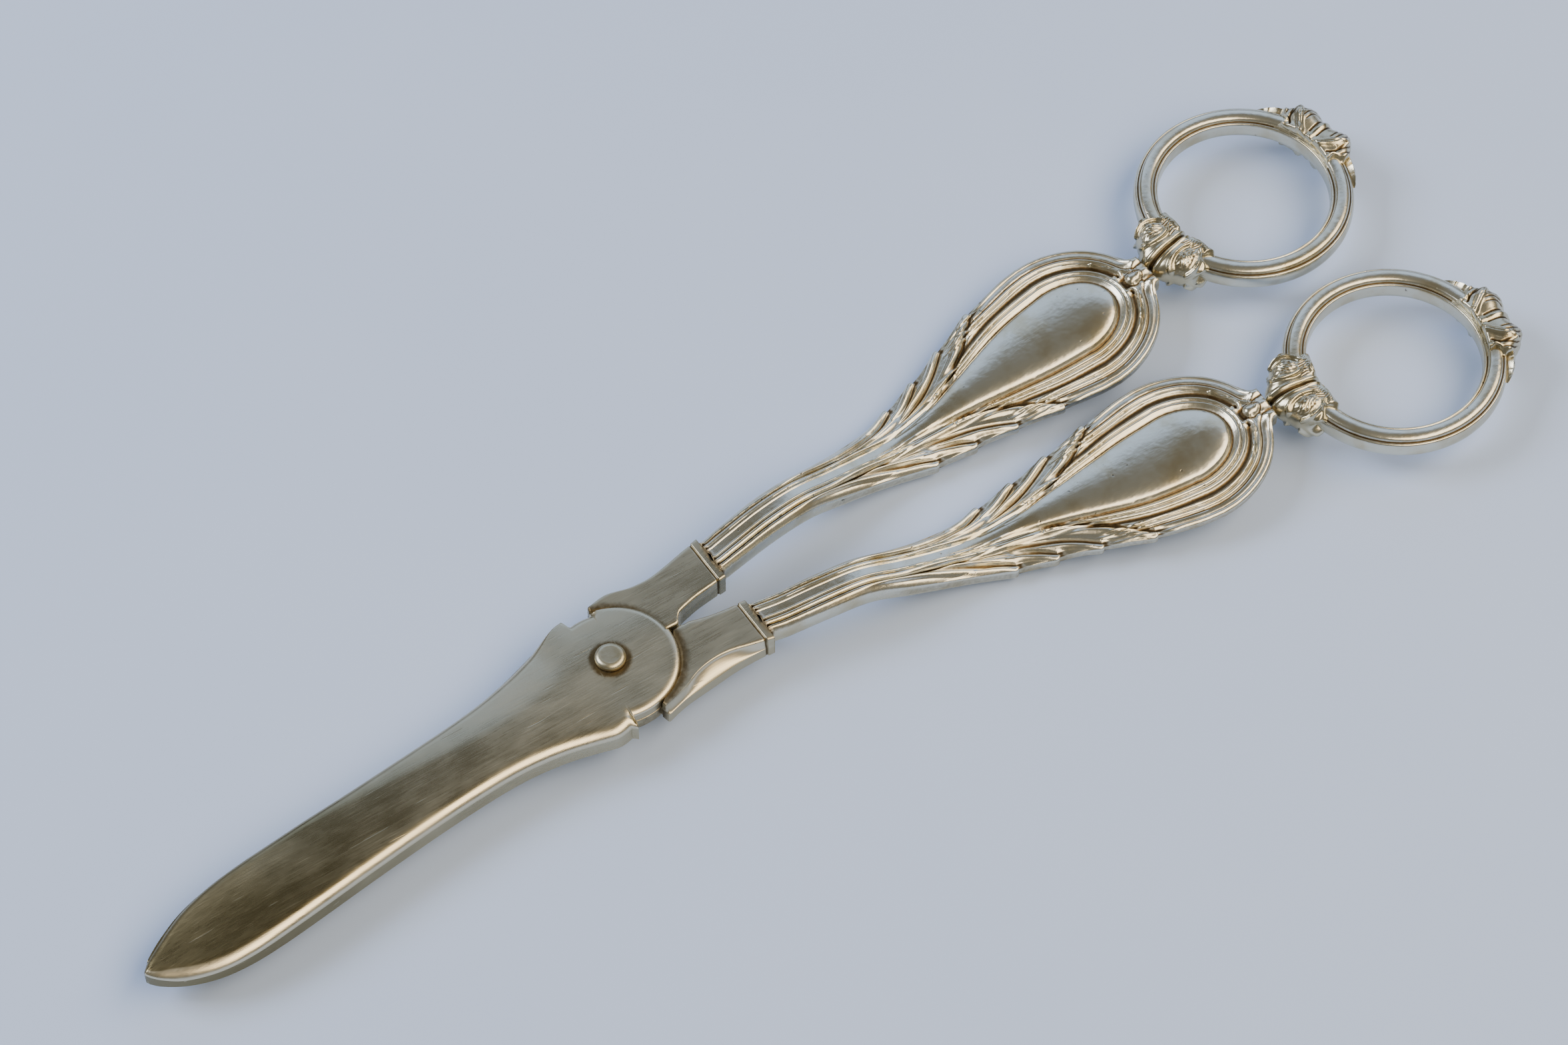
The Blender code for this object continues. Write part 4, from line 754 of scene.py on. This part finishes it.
def rows_across(low, high):
    """Rows from one edge to the other at each station, close together along both rolled edges."""
    near = np.array((0, 0.02, 0.06, 0.12, 0.20, 0.30, 0.42, 0.56, 0.72, 0.90, 1.10, 1.35))
    width = np.maximum(high - low, 1e-4)
    near = near[None] * np.minimum(1, width / 3.4)
    inside = np.linspace(0, 1, 33)[None, 1:-1] * (width - 2 * near[:, -1:]) + near[:, -1:]
    return low + np.concatenate([near, inside, width - near[:, ::-1]], 1)


def upper_plate():
    """The upper blade and disc: at each station a closed section of cambered top, rolled edges, flat
    underside and, along the back, the flange. A facet runs along the cutting edge, the tip bends down to
    a small round nose, and the +Y half of the disc is domed."""
    back, cutting = blade_edges()
    left = math.pi / 2 + STOP_TURN
    low_line = np.vstack([nosed(back, -1), arc(DISC_RADIUS, -left, 0, 90)])
    high_line = np.vstack([nosed(cutting, 1), arc(NOTCH_RADIUS, left, math.pi - left, 24),
                           arc(DISC_RADIUS, math.pi - left, 0, 80)])
    corners = np.array((back[-1, 0], back[-1, 0] + 0.02, polar(DISC_RADIUS, -left)[0], cutting[-1, 0],
                        polar(NOTCH_RADIUS, left)[0], polar(NOTCH_RADIUS, math.pi - left)[0],
                        polar(DISC_RADIUS, math.pi - left)[0]))
    x = stations_along(NOSE[0] - NOSE_RADIUS, DISC_RADIUS, corners, 260)
    low, high = [np.interp(x, line[:, 0], line[:, 1])[:, None] for line in (low_line, high_line)]
    width = np.maximum(high - low, 1e-4)
    y = rows_across(low, np.maximum(high, low))
    plan = np.stack([np.broadcast_to(x[:, None], y.shape), y], -1)
    to_low, to_high = distance_to(low_line, plan), distance_to(high_line, plan)
    x = x[:, None]
    at_blade = x < back[-1, 0] + 0.01
    blade, fade = 1 - ramp(x, -7.0, -2.2), 0.50 + 0.50 * ramp(x, -64, -60.5)
    # the rolled edges, and how far the back one drops for each millimetre of its roll
    back_roll = np.where(at_blade, (BACK_ROLL + BACK_ROLL_MORE * ramp(-x, 38, 56)) * fade, DISC_ROLL)
    back_drop = np.where(at_blade, BACK_DROP * fade, DISC_STEP) / back_roll
    cut_roll = LEAST_ROLL + (CUTTING_ROLL - LEAST_ROLL) * fade * (1 - ramp(x, -8, -3))
    cut_roll = np.where(x > -1.5, DISC_ROLL, cut_roll)
    drop = np.where(to_low < to_high, round_off(to_low, back_roll) * back_drop, round_off(to_high, cut_roll))
    # the top face
    wide = follow(FACET, x)
    into = np.clip(wide - to_high, 0, None)
    facet = FACET_SLOPE * into ** 2 / (into + 0.3 * wide)
    camber = CAMBER * np.clip((high - low) / 12, 0, 1) ** 1.5 * (2 * (y - low) / width - 1) ** 2
    dome = DISC_DOME * np.clip(y, 0, None) ** 2
    bend = TIP_DROP * np.clip((TIP + TIP_RUN - x) / TIP_RUN, 0, 1) ** 1.25
    top = UPPER_TOP - (camber + facet) * blade - dome * (1 - blade) - bend - drop
    # the underside, with the flange where there is blade
    under = UPPER_FLOOR - TIP_UNDERCUT * ramp(-x, 62.7, 63.5)
    flange = np.where(at_blade, LOWER_FLOOR, UPPER_FLOOR)
    thick = np.minimum(FLANGE, 0.55 * (high - low))
    floor = np.where(y - low < thick, np.minimum(flange + 0.6, under), under)
    top = np.maximum(top, floor + THIN_EDGE)
    down = np.linspace(0, 1, 5)[None, 1:]
    right_z = top[:, -1:] + (under - top[:, -1:]) * down
    under_y = np.concatenate([high - 0.1, low + thick, low + thick, low], 1)
    under_z = np.concatenate([under, under, flange, flange], 1)
    left_z = flange + (top[:, :1] - flange) * np.linspace(0, 1, 9)[None, 1:-1]
    loop_y = np.concatenate([y, high + 0 * right_z, under_y, low + 0 * left_z], 1)
    loop_z = np.concatenate([top, right_z, under_z, left_z], 1)
    loop_x = np.broadcast_to(x, loop_y.shape)
    dark = 0.20 + 0.9 * hump(np.hypot(loop_x, loop_y), 2.0, 1.0) * (loop_z > UPPER_TOP - 0.4)
    # painted highlight, partly wear: the rolled back edge and the -Y rim of the disc are set lighter, and
    # the blade finish gives them its paler edge colour
    dark[:, :y.shape[1]] -= 0.2 * ramp(drop, 0.02, 0.16) * (to_low < to_high)
    return round_pivot(loop_x, loop_y, loop_z, dark)


def lower_plate():
    """The lower blade and disc: a flat plate that stays inside the upper blade's flange, with its stop's
    ear on the +Y side and a step under the -Y bolster."""
    back, cutting = blade_edges()
    left = math.pi / 2 + STOP_TURN
    inside, edge = beside(back, FLANGE_ROOM), beside(cutting, -CUTTING_INSET)
    ear = polar(DISC_RADIUS + 0.7, left)
    high_line = np.vstack([edge[edge[:, 0] < ear[0] - 0.6], ear, arc(NOTCH_RADIUS, left, 0.02, 90),
                           (STEP_RADIUS, -0.15)])
    corners = (ear[0], ear[0] + 0.02, polar(NOTCH_RADIUS, left)[0], STEP_START - 0.02, STEP_START + 0.03)
    x = stations_along(LOWER_TIP, STEP_RADIUS, np.array(corners), 240)
    order = np.argsort(inside[:, 0])
    strip = np.interp(x, inside[order, 0], inside[order, 1])
    radius = np.where(x < STEP_START, DISC_RADIUS, STEP_RADIUS)
    disc = -np.sqrt(np.clip(radius ** 2 - x ** 2, 0, None))
    low = np.where(np.abs(x) < radius, np.minimum(np.where(x < -2, strip, 0), disc), strip)
    high = np.interp(x, high_line[:, 0], high_line[:, 1])
    keep = (high - low > 0.05) | (x > 0)
    x, low, high = [line[keep, None] for line in (x, low, np.maximum(high, low))]
    y = rows_across(low, high)
    rounding = round_off(np.minimum(np.abs(y - low), np.abs(high - y)), LOWER_ROUNDING)
    loop_y = np.concatenate([y, y[:, ::-1]], 1)
    loop_z = np.concatenate([LOWER_TOP - rounding, (LOWER_FLOOR + rounding)[:, ::-1]], 1)
    loop_x = np.broadcast_to(x, loop_y.shape)
    beyond = ramp(np.hypot(loop_x, loop_y), 7.0, 7.8) * (loop_x > -3)
    return round_pivot(loop_x, loop_y, loop_z, 0.35 + 0.35 * beyond)


def bolster_shell(side, root, low_edge, top_edge):
    """A bolster: lines from its inner to its outer edge, the first on an arc round the pivot and the last
    straight, each a closed section whose outer side is scooped above a crease where the outlines differ.
    Each outer edge is the radius where it leaves the shoulder, and its outline from there."""
    shoulder = math.pi / 2 - STOP_TURN
    shift = np.array((0, -side * PIVOT[1]))

    def outer_line(radius, outline):
        """An outer edge in plan, from the arc to the end."""
        line = flowing(np.vstack([polar(radius, shoulder), np.array(outline) + shift]))
        return evenly(np.vstack([polar(root, shoulder), line]), BOLSTER_STATIONS, 1.5)

    inner = evenly(np.vstack([polar(root, FIRST_TURN), flowing(BOLSTER_INNER)]), BOLSTER_STATIONS, 1.5)
    inner[:, 1] = inner[:, 1] + shift[1] * ramp(inner[:, 0], 9.0, 10.5)
    low_line, top_line = outer_line(*low_edge), outer_line(*top_edge)
    share = np.linspace(0, 1, BOLSTER_STATIONS)[:, None]

    def across(v, outer):
        """Points at a share of the way from the inner edge to an outer one, on lines bent like the arc."""
        straight = inner[:, None] * (1 - v)[..., None] + outer[:, None] * v[..., None]
        turn = FIRST_TURN + (shoulder - FIRST_TURN) * v[:1]
        bend = np.stack([root * np.cos(turn), root * np.sin(turn)], -1) - straight[:1]
        return straight + ((1 - share) ** 3)[..., None] * bend

    width = np.linalg.norm(top_line - inner, axis=1)[:, None]
    turn = np.linspace(0, math.pi / 2, 6)[None]
    near, drop = BOLSTER_ROLL * (1 - np.cos(turn)) / width, BOLSTER_ROLL * (1 - np.sin(turn))
    middle = near[:, -1:] + np.linspace(0, 1, 22)[None, 1:-1] * (1 - 2 * near[:, -1:])
    top = across(np.concatenate([near, middle, 1 - near[:, ::-1]], 1), top_line)
    z_top = BOLSTER_TOP - np.concatenate([drop + 0 * near, 0 * middle, drop[:, ::-1] + 0 * near], 1)
    scoop = np.linspace(0, 1, 12)[None, 1:, None]
    rim, foot = [across(np.ones((BOLSTER_STATIONS, 1)), line) for line in (top_line, low_line)]
    z_facet = CREASE + (z_top[:, -1:] - CREASE) * (1 - scoop[..., 0]) ** 1.7
    under = LOWER_FLOOR + 0 * width
    z_wall = CREASE + (under - CREASE) * np.linspace(0, 1, 5)[None, 1:]
    base = across(np.linspace(1, 0, 9)[None, 1:-1] + 0 * width, low_line)
    inside = across(np.zeros((BOLSTER_STATIONS, 6)), top_line)
    z_inside = under + (z_top[:, :1] - under) * np.linspace(0, 1, 7)[None, :-1]
    plan = np.concatenate([top, rim * (1 - scoop) + foot * scoop, np.repeat(foot, 4, 1), base, inside], 1)
    z = np.concatenate([z_top, z_facet, z_wall, under + np.zeros((BOLSTER_STATIONS, 7)), z_inside], 1)
    # a fine groove and a raised lip at the end that takes the handle
    along, off = plan[..., 0], plan[..., 1] - (inner[:, None, 1] + low_line[:, None, 1]) / 2
    lip = 0.07 * ramp(along, LIP_START, 16.42) - 0.08 * hump(along, LIP_GROOVE, 0.22)
    y = plan[..., 1] + lip * np.sign(off) * ramp(np.abs(off), 2.2, 2.9)
    z = z + lip * np.sign(z - RING_LEVEL)
    seam = hump(np.hypot(along, plan[..., 1]), root, 1.5)
    dark = 0.20 + 0.75 * seam + 0.8 * hump(along, LIP_GROOVE, 0.3) + 0.5 * hump(along, BOLSTER_END, 0.2)
    # painted highlight: the rolled top edges and the side walls above the crease are set lighter, short of
    # the lip
    dark = dark - 0.2 * ((z < BOLSTER_TOP - 0.2) & (z > CREASE) & (along < 15.9))
    return round_pivot(along, side * y, z, dark)


def rivet_shell():
    """The rivet: a flat top with a domed shoulder, the pin, and a smaller foot below, turned."""
    turn = np.linspace(math.pi / 2, 0, 12)
    dome = np.column_stack([HEAD_FLAT + HEAD_ROUND * np.cos(turn),
                            HEAD_SEAT + HEAD_SIDE + HEAD_RISE * np.sin(turn)])
    top = np.column_stack([np.linspace(0, HEAD_FLAT, 8)[:-1], np.full(7, dome[0, 1])])
    foot = np.column_stack([FOOT_FLAT + FOOT_ROUND * np.sin(turn), LOWER_FLOOR - FOOT_DEPTH * np.cos(turn)])
    profile = np.vstack([top, dome, (HEAD_UNDER, HEAD_SEAT), (PIN_RADIUS, HEAD_SEAT),
                         (PIN_RADIUS, LOWER_FLOOR), (HEAD_UNDER, LOWER_FLOOR), foot,
                         (0.5, foot[-1, 1]), (0, foot[-1, 1])])
    dark = np.where(profile[:, 1] < HEAD_SEAT + 0.18, 0.9, 0.0) + 0.35 * hump(profile[:, 0], HEAD_FLAT, 0.12)
    points, hollow = turned_shell(profile, dark, 96)
    return points + (*PIVOT, 0), hollow, True, False


# Finishes


def linear(code):
    """A colour given as an sRGB hex code, in linear light."""
    value = np.array([int(code[k:k + 2], 16) for k in (1, 3, 5)]) / 255
    value = np.where(value <= 0.04045, value / 12.92, ((value + 0.055) / 1.055) ** 2.4)
    return (*value, 1.0)


def add_node(tree, kind, inputs=(), output=0, **properties):
    """Add a node with its properties and give back one of its outputs. An input takes a number, a hex
    colour, or another node's output, which is linked to it."""
    node = tree.nodes.new("ShaderNode" + kind)
    for key, value in properties.items():
        setattr(node, key, value)
    for key, value in dict(inputs).items():
        if isinstance(value, bpy.types.NodeSocket):
            tree.links.new(value, node.inputs[key])
        else:
            node.inputs[key].default_value = linear(value) if isinstance(value, str) else value
    return node.outputs[output]


def blank(name):
    """A material with its node tree, its shader, and the two things that its patterns follow: the place
    on the piece and how deep in a hollow the point lies."""
    material = bpy.data.materials.new(name)
    material.use_nodes = True
    tree = material.node_tree
    return (material, tree, tree.nodes["Principled BSDF"], add_node(tree, "TexCoord", output="Object"),
            add_node(tree, "Attribute", output="Fac", attribute_name="hollow"))


def finish_metal(tree, shader, colour, roughness, height, depth, strength):
    """Join a metal's colour, roughness and relief, with its depth in millimetres, to its shader."""
    bump = add_node(tree, "Bump", {"Height": height, "Distance": depth * MM, "Strength": strength})
    for key, source in (("Base Color", colour), ("Roughness", roughness), ("Normal", bump)):
        tree.links.new(source, shader.inputs[key])
    shader.inputs["Metallic"].default_value = 1.0


# How the commonest nodes are set, and the names of their inputs
SMOOTH = {"interpolation_type": "SMOOTHSTEP"}
SUM = {"operation": "MULTIPLY_ADD"}
COLOUR = {"output": 2, "data_type": "RGBA"}
RANGE = ("Value", "From Min", "From Max", "To Min", "To Max")
NOISE = ("Vector", "Scale", "Detail", "Roughness")


def old_plate(name, bright, warm, tarnish, deep, dark_from, rough_low, rough_high):
    """Old silver plate over nickel silver: cast and hand polished, so it is bright on what a cloth
    reaches, yellowed in soft patches 4 mm across, and brown to black in the hollows."""
    material, tree, shader, place, hollow = blank(name)
    # marks of wiping run lengthwise, drawn coarser than real ones so that they show
    drawn = add_node(tree, "Mapping", {"Vector": place, "Scale": (0.12, 1, 1)})
    cloud, grain, speck, dent, wipe = [
        add_node(tree, "TexNoise", zip(NOISE, values))
        for values in ((place, 0.25 / MM, 4, 0.55), (place, 2.2 / MM, 5, 0.65), (place, 1.5 / MM, 2, 0.4),
                       (place, 0.55 / MM, 2, 0.55), (drawn, 9 / MM, 2, 0.55))]
    dirt = add_node(tree, "Math", {0: grain, 1: 0.34, 2: hollow}, **SUM)
    yellow, stain, crust, pit, dull, coarse = [
        add_node(tree, "MapRange", zip(RANGE, values), **SMOOTH)
        for values in ((cloud, 0.42, 0.72, 0, 0.8), (dirt, dark_from + 0.17, dark_from + 0.62, 0, 1),
                       (dirt, dark_from + 0.52, dark_from + 1.02, 0, 1), (speck, 0.735, 0.79, 0, 0.75),
                       (dirt, 0.17, 1.17, rough_low - 0.03, rough_high - 0.03),
                       (hollow, 0.1, 0.8, 0.15, 0.9))]
    colour = bright
    for share, shade in ((yellow, warm), (stain, tarnish), (crust, deep), (pit, deep)):
        colour = add_node(tree, "Mix", {0: share, 6: colour, 7: shade}, **COLOUR)
    roughness = add_node(tree, "Math", {0: wipe, 1: 0.06, 2: dull}, **SUM)
    height = add_node(tree, "Math", {0: grain, 1: coarse}, operation="MULTIPLY")
    for source, share in ((wipe, 0.12), (pit, -0.47), (dent, 0.9)):
        height = add_node(tree, "Math", {0: source, 1: share, 2: height}, **SUM)
    finish_metal(tree, shader, colour, roughness, height, 0.045, 0.9)
    return material


def satin_blade(name, tip, joint, worn_highlight, tarnish, rough):
    """Worn satin plate on forged blades: fine lengthwise scratches about a tenth of a millimetre apart,
    a few brighter stray ones, olive clouds, a painted reflection that makes the blade paler toward the
    joint and darker to the tip, brown beside the rivet, and a paler colour on the rolled back edge that
    is partly wear and partly a painted highlight."""
    material, tree, shader, place, hollow = blank(name)
    along = add_node(tree, "SeparateXYZ", {"Vector": place})
    # the scratches are drawn coarser than real ones, which are too fine to show
    broad, drawn, slanting = [
        add_node(tree, "Mapping", {"Vector": place, "Scale": scale, "Rotation": (0, 0, turn)})
        for scale, turn in (((0.45, 1, 1), 0), ((0.035, 1, 1), 0.04), ((0.10, 1.6, 1), -0.5))]
    cloud, brush, stray, grain, dent = [
        add_node(tree, "TexNoise", zip(NOISE, values))
        for values in ((broad, 0.16 / MM, 5, 0.6), (drawn, 7 / MM, 3, 0.6), (slanting, 1.6 / MM, 1, 0.3),
                       (place, 1.3 / MM, 4, 0.65), (place, 0.12 / MM, 2, 0.55))]
    dirt = add_node(tree, "Math", {0: grain, 1: 0.5, 2: hollow}, **SUM)
    near, fine, cut, wear_and_highlight, brown, dull, deep = [
        add_node(tree, "MapRange", zip(RANGE, values), **SMOOTH)
        for values in ((along, -0.088, -0.022, 0, 1), (brush, 0.62, 0.78, 0, 0.35),
                       (stray, 0.725, 0.785, 0, 0.45), (hollow, 0.03, 0.17, 0, 1),
                       (dirt, 0.67, 1.25, 0, 0.95), (cloud, 0.3, 0.7, rough - 0.17, rough - 0.04),
                       (hollow, 0.5, 1, 0, 0.15))]
    # painted reflection: near takes the colour from the olive tip colour to the paler joint colour toward
    # the pivot, broken up by the clouds
    near = add_node(tree, "Math", {0: cloud, 1: 0.9, 2: near}, **SUM)
    near = add_node(tree, "MapRange", zip(RANGE, (near, 0.45, 1.45, 0, 1)), **SMOOTH)
    colour = tip
    for share in (near, fine, cut):
        colour = add_node(tree, "Mix", {0: share, 6: colour, 7: joint}, **COLOUR)
    # the rolled back edge takes the paler edge colour: partly wear and partly a painted highlight
    colour = add_node(tree, "Mix", {0: wear_and_highlight, 6: worn_highlight, 7: colour}, **COLOUR)
    colour = add_node(tree, "Mix", {0: brown, 6: colour, 7: tarnish}, **COLOUR)
    roughness = add_node(tree, "Math", {0: brush, 1: 0.22, 2: dull}, **SUM)
    roughness = add_node(tree, "Math", {0: roughness, 1: deep}, operation="ADD")
    height = add_node(tree, "Math", {0: brush, 1: 0.5}, operation="MULTIPLY")
    for source, share in ((cut, -1.3), (dent, 2.2)):
        height = add_node(tree, "Math", {0: source, 1: share, 2: height}, **SUM)
    finish_metal(tree, shader, colour, roughness, height, 0.022, 0.8)
    return material


def floor_card(name):
    """A matt pale card to lie on, with a slight mottle."""
    material, tree, shader, place, _ = blank(name)
    mottle = add_node(tree, "TexNoise", zip(NOISE, (place, 0.02 / MM, 3, 0.55)))
    colour = add_node(tree, "Mix", {0: mottle, 6: "#AFC5EC", 7: "#B7CBEF"}, **COLOUR)
    tree.links.new(colour, shader.inputs["Base Color"])
    shader.inputs["Roughness"].default_value = 0.85
    shader.inputs["Specular IOR Level"].default_value = 0.2
    return material


# Stage


def soft_light(name, place, size, power, colour):
    """A large area light that faces the origin. Places are in millimetres."""
    lamp = bpy.data.lights.new(name, "AREA")
    lamp.shape = "RECTANGLE"
    lamp.size, lamp.size_y = size[0] * MM, size[1] * MM
    lamp.energy = power
    lamp.color = linear(colour)[:3]
    item = add_object(name, lamp)
    item.location = Vector(place) * MM
    item.rotation_euler = (-Vector(place)).to_track_quat("-Z", "Y").to_euler()


def stage():
    """The pale floor, the soft lights, the even surroundings and the camera at the photograph's angle."""
    half = FLOOR_HALF
    mesh = bpy.data.meshes.new("floor")
    mesh.from_pydata([(-half, -half, 0), (half, -half, 0), (half, half, 0), (-half, half, 0)], [],
                     [(0, 1, 2, 3)])
    mesh.materials.append(floor_card("pale_card"))
    add_object("floor", mesh)
    soft_light("window", (-430, 400, 520), (420, 380), 4.8, "#F6F8FF")
    soft_light("far_wall", (413, 529, 410), (900, 520), 1.9, "#BCD6FF")
    soft_light("room", (240, -340, 540), (1200, 440), 8.4, "#FFE9C9")
    world = bpy.data.worlds.new("even_room")
    bpy.context.scene.world = world
    world.use_nodes = True
    surroundings = world.node_tree.nodes["Background"].inputs
    surroundings["Color"].default_value = linear("#CDC9BA")
    surroundings["Strength"].default_value = 0.30
    camera = bpy.data.cameras.new("camera")
    camera.sensor_width = 36
    camera.lens = 122.4
    item = add_object("camera", camera)
    item.location = Vector((-196.36, -292.28, 504.22)) * MM
    item.rotation_euler = Vector((0.3221, 0.4846, -0.8133)).to_track_quat("-Z", "Y").to_euler()
    bpy.context.scene.camera = item


def dress():
    """Make every piece of the shears."""
    plate = old_plate("silver_plate_polished", "#D3D1C2", "#BFB392", "#66553A", "#241D14", 0.36, 0.235, 0.44)
    leafy = old_plate("silver_plate_tarnished", "#CBC5AE", "#AA9F80", "#5E5038", "#1F1912", 0.34, 0.20, 0.46)
    head = old_plate("silver_plate_worn", "#B9B49D", "#A79B78", "#6E5A38", "#2E2415", 0.40, 0.34, 0.50)
    # the blades' finish also paints in a reflection, paler toward the joint, and a highlight on the rolled
    # back edge
    blade = satin_blade("satin_plate_worn_and_sheen", "#80775A", "#B9B29A", "#D2C9AF", "#54462B", 0.30)
    upper_edge = (DISC_RADIUS, BOLSTER_OUTER)
    upper = [upper_plate(), bolster_shell(1, UPPER_ROOT, upper_edge, upper_edge)]
    lower = [lower_plate(), bolster_shell(-1, DISC_RADIUS + JOINT_GAP, (EAR_RADIUS, LOW_OUTER),
                                          (EAR_RADIUS - EAR_SCOOP, TOP_OUTER))]
    cast_piece("upper_blade_forged", upper, blade, "upper_lever", "upper_blade")
    cast_piece("lower_blade_forged", lower, blade, "lower_lever", "lower_blade")
    cast_piece("pivot_rivet_turned", [rivet_shell()], head, "lower_lever", "pivot_rivet")
    kinds = (("_handle_cast", handle_shells(), plate, "silver_plate", "_handle"),
             ("_hoop_turned", hoop_shells(), plate, "silver_plate", "_ring"),
             ("_collar_cast", collar_shells(), leafy, "tarnished_plate", "_ring_collar"),
             ("_crest_cast", crest_shells(), leafy, "tarnished_plate", "_ring_crest"))
    for name, side, body in (("right", 1, "upper_lever"), ("left", -1, "lower_lever")):
        for ending, shells, material, slot, node in kinds:
            cast_piece(name + ending, on_side(shells, side), material, body, name + node)


dress()
stage()
